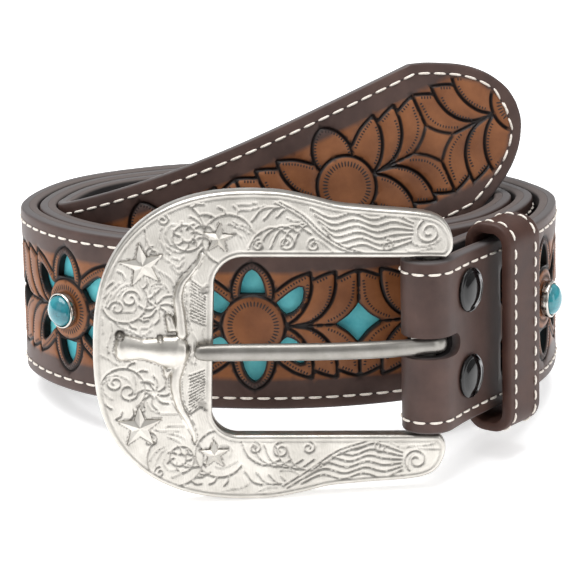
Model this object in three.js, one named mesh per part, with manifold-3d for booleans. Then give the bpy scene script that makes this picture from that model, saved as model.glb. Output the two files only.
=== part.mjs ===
// A tooled western belt laid down in a loose coil, with a cast horseshoe-shaped buckle.
// Millimetres, +Z up. The belt is built in the plane of its coil (x right, y away, z up,
// strap edges at z = 0 and z = strapWidth), then tipped back until it rests on the
// buckle's lower rim in front and on the strap's edge behind.
import * as THREE from 'three';
import { mergeVertices } from 'three/addons/utils/BufferGeometryUtils.js';
import Module from 'manifold-3d';

const wasm = await Module();
wasm.setup();

// Strap
const strapWidth = 38;
const faceThickness = 1.9;
const underlayThickness = 0.5;
const backingThickness = 1.1;
const layerClearance = 0.2;
const underlayWidth = 31;
const edgeRound = 0.6;

// Coil, measured on the strap's outer face
const coilHalfWidth = 61.5;
const coilCentreY = 10;
const turnGap = 2;

// Free end
const exitTurn = 892.8;
const bendLength = 19;
const bendTurn = 125.8;
const bendClimb = 19.5;
const bendLean = 14.4;
const tightShare = 0.61;
const easeLength = 76;
const freeLength = 110.4;
const tipLength = 20;

// Fold round the heel bar
const barDiameter = 3.4;
const foldClearance = 0.95;
const returnGap = 3.4;
const returnSettle = 4.5;
const returnLength = 30;

// Buckle
const frameThickness = 4.5;
const frameHalfHeight = 34;
const frameReach = 71.9;
const windowReach = 46.5;
const windowHalfHeight = 19.65;
const windowCorner = 6;
const armEndHalfHeight = 29;
const armOverhang = 3.9;
const frameEdge = 0.8;
const faceAboveBar = 4;
const frameSwing = 4.3;
const frameLift = 2.5;

// Prong
const prongWidth = 3.7;
const prongThickness = 2.8;
const prongReach = 50.6;
const prongDroop = 0.8;
const eyeClearance = 0.25;
const eyeWall = 2.1;
const slotPlay = 0.5;

// Cast ornaments
const reliefHeight = 1.3;
const bigStarRadius = 5.1;
const smallStarRadius = 3.5;
const hornRadius = 1.15;

// Keeper
const keeperWidth = 12.5;
const keeperWall = 2.2;
const keeperEdgeGap = 2.3;
const keeperFrontGap = 3.8;
const keeperStart = 15.4;

// Snaps
const snapDiameter = 9.7;
const snapHeight = 1.6;
const snapSpacing = 19.3;
const snapPlace = 7.8;
const snapLift = 0.9;
const snapPostDiameter = 3;
const fitGap = 0.3;

// Tooled pattern
const firstFlower = 43.3;
const backPitch = 42.9;
const backFlowers = 5;
const patternPitch = 47;
const flowerCount = 15;
const rosetteRadius = 7.1;
const petalReach = 12.9;
const diagonalReach = 14.5;
const diamondHalfWidth = 5.3;
const diamondHalfHeight = 4.5;
const underlayLead = 12.6;

// Stones and adjusting holes
const stoneDiameter = 7;
const stoneHeight = 3;
const bezelWall = 0.5;
const bezelHeight = 1.7;
const holeDiameter = 5;
const holeCount = 5;
const holesFromTip = 92.6;
const holePitch = 24.3;

// Direction of the coil, its outer face as a share of the half width, and how much of
// the gap between turns is left there. The first rows are the tab in front of the coil.
const coilTable = [
  { turn: -59.6, reach: 1.094, slack: 1 },
  { turn: -54.3, reach: 1.044, slack: 1 },
  { turn: -44.5, reach: 1.0, slack: 1 },
  { turn: -30, reach: 0.992, slack: 1 },
  { turn: -15, reach: 0.998, slack: 1 },
  { turn: 0, reach: 0.997, slack: 0.5 },
  { turn: 12, reach: 0.95, slack: 0.35 },
  { turn: 24, reach: 0.892, slack: 0.35 },
  { turn: 45, reach: 0.801, slack: 0.6 },
  { turn: 67, reach: 0.744, slack: 0.7 },
  { turn: 90, reach: 0.721, slack: 0.7 },
  { turn: 113, reach: 0.765, slack: 0.7 },
  { turn: 131, reach: 0.858, slack: 0.6 },
  { turn: 150, reach: 0.972, slack: 0.45 },
  { turn: 165, reach: 1.02, slack: 0.3 },
  { turn: 180, reach: 1.04, slack: 0.25 },
  { turn: 194, reach: 0.99, slack: 0.25 },
  { turn: 210, reach: 0.912, slack: 0.4 },
  { turn: 230, reach: 0.811, slack: 0.4 },
  { turn: 250, reach: 0.741, slack: 0.4 },
  { turn: 270, reach: 0.725, slack: 0.4 },
  { turn: 290, reach: 0.75, slack: 0.5 },
  { turn: 310, reach: 0.813, slack: 0.7 },
  { turn: 335, reach: 0.925, slack: 0.6 },
];
const tabRows = 5;

// Half width of the strap's pointed end, as shares, along the tip.
const tipTable = [
  { along: 0, width: 1 },
  { along: 0.16, width: 0.94 },
  { along: 0.36, width: 0.84 },
  { along: 0.55, width: 0.73 },
  { along: 0.7, width: 0.61 },
  { along: 0.82, width: 0.48 },
  { along: 0.91, width: 0.34 },
  { along: 0.97, width: 0.2 },
  { along: 1, width: 0.04 },
];

// The steer's head as shares of its length and half height, from muzzle to poll.
const steerLength = 15.6;
const steerHalfHeight = 3.1;
const steerTable = [
  { along: 0, height: 0.5, rise: 0.35 },
  { along: 0.1, height: 0.74, rise: 0.8 },
  { along: 0.35, height: 0.66, rise: 1 },
  { along: 0.62, height: 0.86, rise: 1.25 },
  { along: 0.85, height: 1, rise: 1.15 },
  { along: 1, height: 0.6, rise: 0.5 },
];
// The upper horn from the poll to its tip, as shares of the window's half height.
const hornTable = [
  { reach: 0.0, height: 0.2, thick: 1 },
  { reach: 0.02, height: 0.46, thick: 1 },
  { reach: -0.06, height: 0.68, thick: 0.9 },
  { reach: -0.19, height: 0.86, thick: 0.75 },
  { reach: -0.25, height: 1.08, thick: 0.35 },
];

const radians = THREE.MathUtils.degToRad;
const up = new THREE.Vector3(0, 0, 1);
const strapMiddle = strapWidth / 2;
const plainThickness = faceThickness + layerClearance + backingThickness;
const piercedThickness = plainThickness + underlayThickness + layerClearance;

function standard(color, roughness, metalness) {
  return new THREE.MeshStandardMaterial({ color, roughness, metalness });
}

const darkLeather = standard(0x5a4844, 0.55, 0);
const keeperLeather = standard(0x5f4740, 0.5, 0);
const backLeather = standard(0x2b2423, 0.8, 0);
const turquoiseSheet = standard(0x46aab9, 0.6, 0);
const turquoiseStone = standard(0x2f8f9c, 0.25, 0);
const castSilver = standard(0xcdcac4, 0.38, 1);
const blackEnamel = standard(0x0c0c0d, 0.15, 0.4);

function toManifold(geometry) {
  const bare = geometry.clone();
  for (const name of Object.keys(bare.attributes)) {
    if (name !== 'position') bare.deleteAttribute(name);
  }
  const merged = mergeVertices(bare, 1e-4);
  return new wasm.Manifold(new wasm.Mesh({
    numProp: 3,
    vertProperties: new Float32Array(merged.attributes.position.array),
    triVerts: new Uint32Array(merged.index.array),
  }));
}

function fromManifold(solid) {
  const mesh = solid.getMesh();
  const geometry = new THREE.BufferGeometry();
  geometry.setAttribute('position', new THREE.BufferAttribute(mesh.vertProperties, 3));
  geometry.setIndex(new THREE.BufferAttribute(mesh.triVerts, 1));
  geometry.computeVertexNormals();
  return geometry;
}

function named(name, geometry, material) {
  const mesh = new THREE.Mesh(geometry, material);
  mesh.name = name;
  return mesh;
}

// The coil's route: a station is a point on the strap's outer face at mid width, the
// direction of travel and the direction across the strap.

function coilPoint(row, lap) {
  const turn = row.turn + 360 * lap;
  const perTurn = piercedThickness + turnGap * row.slack;
  const reach = row.reach * coilHalfWidth - perTurn * turn / 360;
  const angle = radians(row.turn);
  return new THREE.Vector3(
    Math.cos(angle) * reach, coilCentreY + Math.sin(angle) * reach, strapMiddle);
}

function coilCurve() {
  const points = coilTable.slice(0, tabRows).map((row) => coilPoint(row, 0));
  for (let lap = 0; lap < 3; lap += 1) {
    for (const row of coilTable.slice(tabRows)) {
      if (row.turn + 360 * lap < exitTurn + 30) points.push(coilPoint(row, lap));
    }
  }
  return new THREE.CatmullRomCurve3(points, false, 'centripetal');
}

function station(point, travel, across) {
  const outward = new THREE.Vector3().crossVectors(travel, across).normalize();
  return { point, travel, across, outward };
}

function turnOf(point) {
  return THREE.MathUtils.radToDeg(Math.atan2(point.y - coilCentreY, point.x));
}

// Stations of the coil, closer together where it bends more.
function coilStations() {
  const curve = coilCurve();
  const samples = 3000;
  const longest = 14;
  const mostTurn = radians(13.5);
  const stations = [];
  let swept = 0;
  let before = null;
  for (let i = 0; i <= samples; i += 1) {
    const point = curve.getPoint(i / samples);
    const travel = curve.getTangent(i / samples);
    if (before) {
      let step = turnOf(point) - turnOf(before);
      if (step < -180) step += 360;
      swept += step;
    }
    before = point;
    const last = stations[stations.length - 1];
    const leaving = swept + coilTable[0].turn >= exitTurn;
    const due = !last || last.point.distanceTo(point) >= longest
      || last.travel.angleTo(travel) >= mostTurn;
    if (due || leaving) stations.push(station(point, travel, up.clone()));
    if (leaving) break;
  }
  return stations;
}

// The bend turns about one tilted axis, so the flat strap leaves it climbing.
function freeStations(start) {
  const startFrame = new THREE.Matrix4().makeBasis(
    start.travel, start.across, new THREE.Vector3().crossVectors(start.travel, start.across));
  const heading = Math.atan2(start.travel.y, start.travel.x) + radians(bendTurn);
  const climb = radians(bendClimb);
  const travel = new THREE.Vector3(
    Math.cos(heading) * Math.cos(climb), Math.sin(heading) * Math.cos(climb), Math.sin(climb));
  const side = new THREE.Vector3(-Math.sin(heading), Math.cos(heading), 0);
  const across = new THREE.Vector3().crossVectors(side, travel).negate();
  across.applyAxisAngle(travel, -radians(bendLean));
  const endFrame = new THREE.Matrix4().makeBasis(
    travel, across, new THREE.Vector3().crossVectors(travel, across));
  const first = new THREE.Quaternion().setFromRotationMatrix(startFrame);
  const last = new THREE.Quaternion().setFromRotationMatrix(endFrame);

  const stations = [];
  const point = start.point.clone();
  const total = freeLength + bendLength;
  const bendStep = 1.9;
  const easeStep = 8;
  const straightStep = 12;
  const tipStart = total - tipLength;
  let along = 0;
  while (along < total - 1e-6) {
    let step = straightStep;
    if (along < bendLength - 1e-6) step = Math.min(bendStep, bendLength - along);
    else if (along < bendLength + easeLength - 1e-6) step = easeStep;
    if (along < tipStart - 1e-6) step = Math.min(step, tipStart - along);
    else step = nextTipStep(along - tipStart);
    const middle = along + step / 2;
    const direction = bendFrame(first, last, middle);
    point.addScaledVector(new THREE.Vector3(1, 0, 0).applyQuaternion(direction), step);
    along += step;
    const frame = bendFrame(first, last, along);
    stations.push(station(
      point.clone(),
      new THREE.Vector3(1, 0, 0).applyQuaternion(frame),
      new THREE.Vector3(0, 1, 0).applyQuaternion(frame)));
  }
  return stations;
}

function nextTipStep(done) {
  const share = done / tipLength;
  const next = tipTable.find((row) => row.along > share + 1e-6);
  return (next.along - share) * tipLength;
}

function bendFrame(first, last, along) {
  const tight = Math.min(along / bendLength, 1) * tightShare;
  const eased = THREE.MathUtils.clamp((along - bendLength) / easeLength, 0, 1);
  const share = tight + (1 - tightShare) * Math.sin(eased * Math.PI / 2);
  return first.clone().slerp(last, share);
}

// The fold goes round the heel bar and comes back inside the tab.
const barRadius = barDiameter / 2;
const foldInner = barRadius + foldClearance;
const foldOuter = foldInner + plainThickness;

const coil = coilStations();
const tabStart = coil[0];
const tabOutward = tabStart.outward;
const barCentre = tabStart.point.clone().addScaledVector(tabOutward, -foldOuter);

function foldStations() {
  const stations = [];
  const steps = 11;
  const returnDirection = tabStart.travel.clone().negate();
  const returnStart = barCentre.clone().addScaledVector(tabOutward, -foldOuter);
  const shift = 2 * foldInner - returnGap;
  for (const along of [returnLength, (returnLength + returnSettle) / 2, returnSettle]) {
    const follow = coilAt(along);
    const depth = 2 * plainThickness + returnGap;
    const point = follow.point.clone().addScaledVector(follow.outward, -depth);
    stations.push(station(point, follow.travel.clone().negate(), up.clone()));
  }
  const middle = returnStart.clone().addScaledVector(tabStart.travel, returnSettle / 2);
  middle.addScaledVector(tabOutward, shift / 2);
  stations.push(station(middle, returnDirection.clone(), up.clone()));
  for (let i = 0; i < steps; i += 1) {
    const angle = Math.PI * (1 - i / steps);
    const outward = tabOutward.clone().applyAxisAngle(up, -angle);
    const travel = new THREE.Vector3().crossVectors(up, outward);
    const point = barCentre.clone().addScaledVector(outward, foldOuter);
    stations.push(station(point, travel, up.clone()));
  }
  return stations;
}

function distances(stations) {
  const lengths = [0];
  for (let i = 1; i < stations.length; i += 1) {
    lengths.push(lengths[i - 1] + stations[i].point.distanceTo(stations[i - 1].point));
  }
  return lengths;
}

function interpolate(stations, lengths, along) {
  let i = 1;
  while (i < stations.length - 1 && lengths[i] < along) i += 1;
  const share = (along - lengths[i - 1]) / (lengths[i] - lengths[i - 1]);
  const a = stations[i - 1];
  const b = stations[i];
  const travel = a.travel.clone().lerp(b.travel, share).normalize();
  const across = a.across.clone().lerp(b.across, share).normalize();
  return station(a.point.clone().lerp(b.point, share), travel, across);
}

const coilLengths = distances(coil);
function coilAt(along) {
  return interpolate(coil, coilLengths, along);
}

const fold = foldStations();
const free = freeStations(coil[coil.length - 1]);
const route = [...fold, ...coil, ...free];
const routeLengths = distances(route);
const tabMark = routeLengths[fold.length];
const strapEnd = routeLengths[routeLengths.length - 1];

// Places along the strap are measured from the end of the fold, where the tab starts.
function strapAt(along) {
  return interpolate(route, routeLengths, along + tabMark);
}

function halfWidthAt(length, fullHalf) {
  const left = strapEnd - length;
  if (left >= tipLength) return fullHalf;
  const share = 1 - left / tipLength;
  let i = 1;
  while (i < tipTable.length - 1 && tipTable[i].along < share - 1e-9) i += 1;
  const a = tipTable[i - 1];
  const b = tipTable[i];
  const part = THREE.MathUtils.clamp((share - a.along) / (b.along - a.along), 0, 1);
  return fullHalf * THREE.MathUtils.lerp(a.width, b.width, part);
}

// Lofts a closed section, given as rows of side (across) and depth (inward), along the
// route from one length to another. Two neighbours face to face take opposite diagonals,
// so that their facets match where the strap twists.
function ribbon(section, from, to, marks = [], otherDiagonal = false) {
  const positions = [];
  const rings = [];
  const addRing = (place, length) => {
    rings.push(positions.length / 3);
    for (const { side, depth } of section(length)) {
      const vertex = place.point.clone()
        .addScaledVector(place.across, side)
        .addScaledVector(place.outward, -depth);
      positions.push(vertex.x, vertex.y, vertex.z);
    }
  };
  const fixed = [from, ...marks, to];
  const least = 0.8;
  const lengths = routeLengths.filter((length) => length > from && length < to
    && fixed.every((mark) => Math.abs(length - mark) > least));
  for (const length of [...fixed, ...lengths].sort((a, b) => a - b)) {
    addRing(interpolate(route, routeLengths, length), length);
  }
  const count = section(from).length;
  const index = [];
  for (let r = 1; r < rings.length; r += 1) {
    for (let k = 0; k < count; k += 1) {
      const a = rings[r - 1] + k;
      const b = rings[r - 1] + (k + 1) % count;
      const c = rings[r] + k;
      const d = rings[r] + (k + 1) % count;
      if (otherDiagonal) index.push(a, c, b, b, c, d);
      else index.push(a, d, b, a, c, d);
    }
  }
  const end = rings[rings.length - 1];
  for (let k = 1; k < count - 1; k += 1) {
    index.push(rings[0], rings[0] + k, rings[0] + k + 1);
    index.push(end, end + k + 1, end + k);
  }
  const geometry = new THREE.BufferGeometry();
  geometry.setAttribute('position', new THREE.Float32BufferAttribute(positions, 3));
  geometry.setIndex(index);
  return geometry;
}

// The turquoise sheet runs under the pierced flowers only, and the backing steps in
// to make room for it.
const flowers = [firstFlower];
while (flowers.length < flowerCount) {
  const pitch = flowers.length <= backFlowers ? backPitch : patternPitch;
  flowers.push(flowers[flowers.length - 1] + pitch);
}
const underlayStart = flowers[0] - underlayLead;
const underlayEnd = flowers[flowerCount - 1] + patternPitch / 2 + diamondHalfWidth + 2;
const stepLength = 1.5;

function underlayDepthAt(length) {
  const along = length - tabMark;
  const rise = THREE.MathUtils.smoothstep(along, underlayStart - stepLength, underlayStart);
  const fall = THREE.MathUtils.smoothstep(along, underlayEnd, underlayEnd + stepLength);
  return (underlayThickness + layerClearance) * rise * (1 - fall);
}

function faceSection(length) {
  const half = halfWidthAt(length, strapWidth / 2);
  const round = Math.min(edgeRound, half * 0.5);
  return [
    { side: -half, depth: faceThickness },
    { side: -half, depth: round },
    { side: round - half, depth: 0 },
    { side: half - round, depth: 0 },
    { side: half, depth: round },
    { side: half, depth: faceThickness },
  ];
}

function backingSection(length) {
  const half = halfWidthAt(length, strapWidth / 2);
  const round = Math.min(edgeRound * 0.6, half * 0.5);
  const top = faceThickness + layerClearance + underlayDepthAt(length);
  return [
    { side: -half, depth: top + backingThickness - round },
    { side: -half, depth: top },
    { side: half, depth: top },
    { side: half, depth: top + backingThickness - round },
    { side: half - round, depth: top + backingThickness },
    { side: round - half, depth: top + backingThickness },
  ];
}

function underlaySection() {
  const half = underlayWidth / 2;
  const top = faceThickness + layerClearance;
  return [
    { side: -half, depth: top + underlayThickness },
    { side: -half, depth: top },
    { side: half, depth: top },
    { side: half, depth: top + underlayThickness },
  ];
}

// A cutter is a flat outline (u along, v across, from a place on the strap) pushed
// through the leather.
function cutter(along, offset, outline, deepest) {
  const shape = new THREE.Shape(outline.map(([u, v]) => new THREE.Vector2(u, v)));
  const above = 1.5;
  const geometry = new THREE.ExtrudeGeometry(shape, { depth: above + deepest, bevelEnabled: false });
  const place = strapAt(along);
  const basis = new THREE.Matrix4().makeBasis(place.travel, place.across, place.outward);
  basis.setPosition(place.point.clone()
    .addScaledVector(place.across, offset)
    .addScaledVector(place.outward, -deepest));
  geometry.applyMatrix4(basis);
  return toManifold(geometry);
}

function straightPetal(sign) {
  const base = rosetteRadius + 0.1;
  const reach = petalReach - base;
  return [
    [-2.8, 0], [2.8, 0], [2.2, reach * 0.57], [0, reach], [-2.2, reach * 0.57],
  ].map(([u, v]) => [u, sign * (v + base)]);
}

function diagonalPetal(signU, signV) {
  const share = diagonalReach / 14.5;
  return [
    [5.1, 5.45], [7.3, 2.9], [10, 4.5], [11.2, 6.8], [11.1, 9.4],
  ].map(([u, v]) => [signU * u * share, signV * v * share]);
}

function diamond() {
  const w = diamondHalfWidth;
  const h = diamondHalfHeight;
  const waist = 0.44;
  return [
    [-w, 0], [-w * waist, -h * waist], [0, -h], [w * waist, -h * waist],
    [w, 0], [w * waist, h * waist], [0, h], [-w * waist, h * waist],
  ];
}

function circleOutline(diameter, sides) {
  const points = [];
  for (let i = 0; i < sides; i += 1) {
    const angle = 2 * Math.PI * i / sides;
    points.push([Math.cos(angle) * diameter / 2, Math.sin(angle) * diameter / 2]);
  }
  return points;
}

// Each petal is cut where it lies on the bent strap, so its outline is moved to its own
// middle first.
function flowerCutters(along, i) {
  const deepest = faceThickness + 0.6;
  const outlines = [straightPetal(1), straightPetal(-1)];
  for (const signU of [-1, 1]) {
    for (const signV of [-1, 1]) outlines.push(diagonalPetal(signU, signV));
  }
  const cutters = outlines.map((outline) => {
    const middle = outline.reduce((sum, [u]) => sum + u, 0) / outline.length;
    const local = outline.map(([u, v]) => [u - middle, v]);
    return cutter(along + middle, 0, local, deepest);
  });
  const next = flowers[i + 1] ?? along + patternPitch;
  cutters.push(cutter((along + next) / 2, 0, diamond(), deepest));
  return cutters;
}

const prongSlotRadius = (() => {
  const eyeOuter = barRadius + eyeClearance + eyeWall + fitGap;
  const reach = Math.sqrt(eyeOuter ** 2 - foldInner ** 2) + fitGap;
  return Math.hypot(foldOuter, reach);
})();

function prongSlotCutter() {
  const height = prongWidth + 2 * slotPlay;
  const geometry = new THREE.CylinderGeometry(prongSlotRadius, prongSlotRadius, height, 24);
  geometry.rotateX(Math.PI / 2);
  geometry.translate(barCentre.x, barCentre.y, strapMiddle);
  return toManifold(geometry);
}

const snapOffsets = [snapLift + snapSpacing / 2, snapLift - snapSpacing / 2];
const foldDepth = 2 * plainThickness + returnGap;

function snapHoleCutters() {
  const hole = circleOutline(snapPostDiameter + 2 * fitGap, 10);
  return snapOffsets.map((offset) => cutter(snapPlace, offset, hole, foldDepth + 1.5));
}

function adjustingHoleCutters() {
  const hole = circleOutline(holeDiameter, 12);
  const tip = strapEnd - tabMark;
  const cutters = [];
  for (let i = 0; i < holeCount; i += 1) {
    cutters.push(cutter(tip - holesFromTip - i * holePitch, 0, hole, plainThickness + 1));
  }
  return cutters;
}

function cutAway(solid, cutters) {
  return cutters.reduce((body, tool) => body.subtract(tool), solid);
}

const underlaySteps = [
  underlayStart - stepLength, underlayStart, underlayEnd, underlayEnd + stepLength,
].map((along) => along + tabMark);
const through = [prongSlotCutter(), ...snapHoleCutters(), ...adjustingHoleCutters()];
const pierced = flowers.flatMap((along, i) => flowerCutters(along, i));

const strapFace = named('strap_face', fromManifold(
  cutAway(toManifold(ribbon(faceSection, 0, strapEnd, underlaySteps)), [...through, ...pierced])),
darkLeather);
const strapBacking = named('strap_backing', fromManifold(
  cutAway(toManifold(ribbon(backingSection, 0, strapEnd, underlaySteps, true)), through)),
backLeather);
const underlay = named('turquoise_underlay', fromManifold(
  toManifold(ribbon(underlaySection, tabMark + underlayStart, tabMark + underlayEnd, [], true))),
turquoiseSheet);

// The buckle group has its origin on the heel bar. Its own x points away from the free
// rim, its y up the strap's width and its z out of the front.
const buckleGroup = new THREE.Group();
{
  const swing = radians(frameSwing);
  const front = new THREE.Vector3(Math.sin(swing), -Math.cos(swing), 0);
  const away = new THREE.Vector3(Math.cos(swing), Math.sin(swing), 0);
  away.applyAxisAngle(front, -radians(frameLift));
  const height = new THREE.Vector3().crossVectors(front, away);
  buckleGroup.setRotationFromMatrix(new THREE.Matrix4().makeBasis(away, height, front));
  buckleGroup.position.copy(barCentre);
}

// Outline of the horseshoe, upper half, from the arm's end round to the rim.
function frameOutline() {
  const h = frameHalfHeight;
  const w = windowHalfHeight;
  const bow = frameReach - h;
  const endTop = armEndHalfHeight;
  const fullness = 2 / 2.45;
  const upper = [
    [-armOverhang + 1.2, w], [-armOverhang, w + 1.6], [-armOverhang, w + 4.6],
    [-armOverhang + 1.6, endTop - 1.6], [-armOverhang + 4.4, endTop],
    [bow * 0.37, endTop + 1.4], [bow * 0.55, endTop + 2.1], [bow * 0.7, h - 1.5], [bow * 0.86, h - 0.3],
  ];
  const steps = 10;
  for (let i = 0; i <= steps; i += 1) {
    const angle = Math.PI / 2 * (1 - i / steps);
    upper.push([
      bow + h * Math.cos(angle) ** fullness, h * Math.sin(angle) ** fullness]);
  }
  const corner = [];
  const cornerSteps = 4;
  for (let i = 0; i <= cornerSteps; i += 1) {
    const angle = Math.PI / 2 * i / cornerSteps;
    corner.push([
      windowReach - windowCorner + windowCorner * Math.cos(angle),
      w - windowCorner + windowCorner * Math.sin(angle)]);
  }
  const flip = (points) => points.map(([x, y]) => [x, -y]).reverse();
  const outer = [...upper, ...flip(upper.slice(0, -1))];
  const inner = [...flip(corner), ...corner];
  return [...outer, ...inner].map(([x, y]) => new THREE.Vector2(-x, y));
}

function starSolid(centre, radius, rotation) {
  const positions = [];
  const points = 5;
  const sink = 0.5;
  for (let i = 0; i < 2 * points; i += 1) {
    const r = i % 2 ? radius * 0.4 : radius;
    const angle = rotation + Math.PI * i / points;
    positions.push([centre[0] + r * Math.cos(angle), centre[1] + r * Math.sin(angle)]);
  }
  const shape = new THREE.Shape(positions.map(([x, y]) => new THREE.Vector2(x, y)));
  const base = new THREE.ExtrudeGeometry(shape, { depth: sink, bevelEnabled: false });
  base.translate(0, 0, faceAboveBar - sink + 0.05);
  const ring = positions.map(([x, y]) => new THREE.Vector3(x, y, faceAboveBar));
  const vertices = [...ring, new THREE.Vector3(centre[0], centre[1], faceAboveBar + reliefHeight)];
  const index = [];
  for (let i = 0; i < ring.length; i += 1) index.push(i, (i + 1) % ring.length, ring.length);
  for (let i = 0; i < ring.length; i += 1) {
    index.push((i + 1) % ring.length, i, ring.length + 1);
  }
  vertices.push(new THREE.Vector3(centre[0], centre[1], faceAboveBar - sink / 2));
  const peak = new THREE.BufferGeometry().setFromPoints(vertices);
  peak.setIndex(index);
  return toManifold(base).add(toManifold(peak));
}

// Rings of a rounded half section lofted along a line, for the head and the horns.
function loftRings(rings) {
  const count = rings[0].length;
  const vertices = rings.flat();
  const index = [];
  for (let r = 1; r < rings.length; r += 1) {
    for (let k = 0; k < count; k += 1) {
      const a = (r - 1) * count + k;
      const b = (r - 1) * count + (k + 1) % count;
      const c = a + count;
      const d = b + count;
      index.push(a, b, d, a, d, c);
    }
  }
  const end = (rings.length - 1) * count;
  for (let k = 1; k < count - 1; k += 1) {
    index.push(0, k + 1, k);
    index.push(end, end + k, end + k + 1);
  }
  const geometry = new THREE.BufferGeometry().setFromPoints(vertices);
  geometry.setIndex(index);
  return geometry;
}

function outwardManifold(geometry) {
  const solid = toManifold(geometry);
  if (solid.volume() > 0) return solid;
  const flipped = geometry.clone();
  const array = flipped.index.array;
  for (let i = 0; i < array.length; i += 3) [array[i], array[i + 1]] = [array[i + 1], array[i]];
  return toManifold(flipped);
}

const pollX = -(windowReach + 5.4);

function steerHead() {
  const sides = 6;
  const sink = 0.6;
  const rings = steerTable.map(({ along, height, rise }) => {
    const x = pollX - steerLength * (1 - along);
    const ring = [];
    for (let k = 0; k <= sides; k += 1) {
      const angle = Math.PI * k / sides;
      ring.push(new THREE.Vector3(
        x, Math.cos(angle) * steerHalfHeight * height,
        faceAboveBar + Math.sin(angle) * reliefHeight * rise * 1.5));
    }
    ring.push(new THREE.Vector3(x, -steerHalfHeight * height, faceAboveBar - sink));
    ring.push(new THREE.Vector3(x, steerHalfHeight * height, faceAboveBar - sink));
    return ring;
  });
  return outwardManifold(loftRings(rings));
}

function horn(sign) {
  const sides = 6;
  const w = windowHalfHeight;
  const centres = hornTable.map(({ reach, height, thick }) => ({
    x: pollX - 2 - reach * w, y: sign * height * w, r: hornRadius * thick }));
  const rings = centres.map((centre, i) => {
    const before = centres[Math.max(i - 1, 0)];
    const after = centres[Math.min(i + 1, centres.length - 1)];
    const travel = new THREE.Vector3(after.x - before.x, after.y - before.y, 0).normalize();
    const side = new THREE.Vector3(-travel.y, travel.x, 0);
    const ring = [];
    for (let k = 0; k < sides; k += 1) {
      const angle = 2 * Math.PI * k / sides;
      ring.push(new THREE.Vector3(centre.x, centre.y, faceAboveBar + 0.1)
        .addScaledVector(side, Math.cos(angle) * centre.r)
        .addScaledVector(up, Math.sin(angle) * centre.r));
    }
    return ring;
  });
  return outwardManifold(loftRings(rings));
}

function ear(sign) {
  const points = [[0, 0.9], [2.2, 2.3], [3.2, 4.9], [0.9, 4.2], [-0.9, 2]];
  const shape = new THREE.Shape(points.map(([x, y]) => new THREE.Vector2(pollX - 4 - x, sign * (y + 1.3))));
  const geometry = new THREE.ExtrudeGeometry(shape, { depth: 1.2, bevelEnabled: false });
  geometry.translate(0, 0, faceAboveBar - 0.5);
  return toManifold(geometry);
}

const starTable = [
  { reach: 61.7, height: 18, size: bigStarRadius, rotation: 1.75 },
  { reach: 61.9, height: -17.6, size: bigStarRadius, rotation: 1.62 },
  { reach: 45.8, height: 23.9, size: smallStarRadius, rotation: 1.5 },
  { reach: 45.9, height: -23.7, size: smallStarRadius, rotation: 1.6 },
];

function buckleFrame() {
  const bevel = frameEdge;
  const plate = new THREE.ExtrudeGeometry(new THREE.Shape(frameOutline()), {
    depth: frameThickness - 2 * bevel,
    bevelEnabled: true,
    bevelThickness: bevel,
    bevelSize: bevel,
    bevelOffset: -bevel,
    bevelSegments: 2,
  });
  plate.translate(0, 0, faceAboveBar - frameThickness + bevel);
  const barSink = 3;
  const bar = new THREE.CylinderGeometry(
    barRadius, barRadius, 2 * (windowHalfHeight + barSink), 14);
  const stars = starTable.map(({ reach, height, size, rotation }) => (
    { centre: [-reach, height], radius: size, rotation }));
  const parts = [
    toManifold(bar),
    ...stars.map(({ centre, radius, rotation }) => starSolid(centre, radius, rotation)),
    steerHead(), horn(1), horn(-1), ear(1), ear(-1),
  ];
  return parts.reduce((body, piece) => body.add(piece), outwardManifold(plate));
}

buckleGroup.add(named('buckle_frame', fromManifold(buckleFrame()), castSilver));

// The prong's side view: a rod that lies on the rim, bows over the fold and ends in a
// hook round the bar.
function prongOutline() {
  const inner = barRadius + eyeClearance;
  const outer = inner + eyeWall;
  const restBack = faceAboveBar + fitGap;
  const rimX = -windowReach;
  const points = [];
  const arcSteps = 14;
  const hookEnd = Math.PI * 1.35;
  for (let i = 0; i <= arcSteps; i += 1) {
    const angle = Math.PI / 2 - hookEnd * (1 - i / arcSteps);
    points.push([outer * Math.cos(angle), outer * Math.sin(angle)]);
  }
  const front = restBack + prongThickness;
  points.push([-9, front * 0.86]);
  points.push([-24, front + 0.3]);
  points.push([rimX + 4, front]);
  points.push([-prongReach + 1.4, front - 0.2]);
  points.push([-prongReach, front - prongThickness * 0.45]);
  points.push([-prongReach + 0.7, restBack]);
  points.push([rimX + 4, restBack]);
  points.push([-24, restBack + 0.3]);
  points.push([-9, front * 0.86 - prongThickness]);
  for (let i = 0; i <= arcSteps; i += 1) {
    const angle = Math.PI / 2 - hookEnd * i / arcSteps;
    points.push([inner * Math.cos(angle), inner * Math.sin(angle)]);
  }
  return points;
}

function prong() {
  const shape = new THREE.Shape(prongOutline().map(([x, z]) => new THREE.Vector2(x, z)));
  const bevel = 0.6;
  const geometry = new THREE.ExtrudeGeometry(shape, {
    depth: prongWidth - 2 * bevel,
    bevelEnabled: true,
    bevelThickness: bevel,
    bevelSize: bevel * 0.7,
    bevelOffset: -bevel * 0.7,
    bevelSegments: 1,
  });
  geometry.translate(0, 0, bevel - prongWidth / 2);
  geometry.rotateX(Math.PI / 2);
  return fromManifold(outwardManifold(geometry));
}

const prongMesh = named('prong', prong(), castSilver);
prongMesh.rotation.z = radians(prongDroop);
buckleGroup.add(prongMesh);

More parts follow.
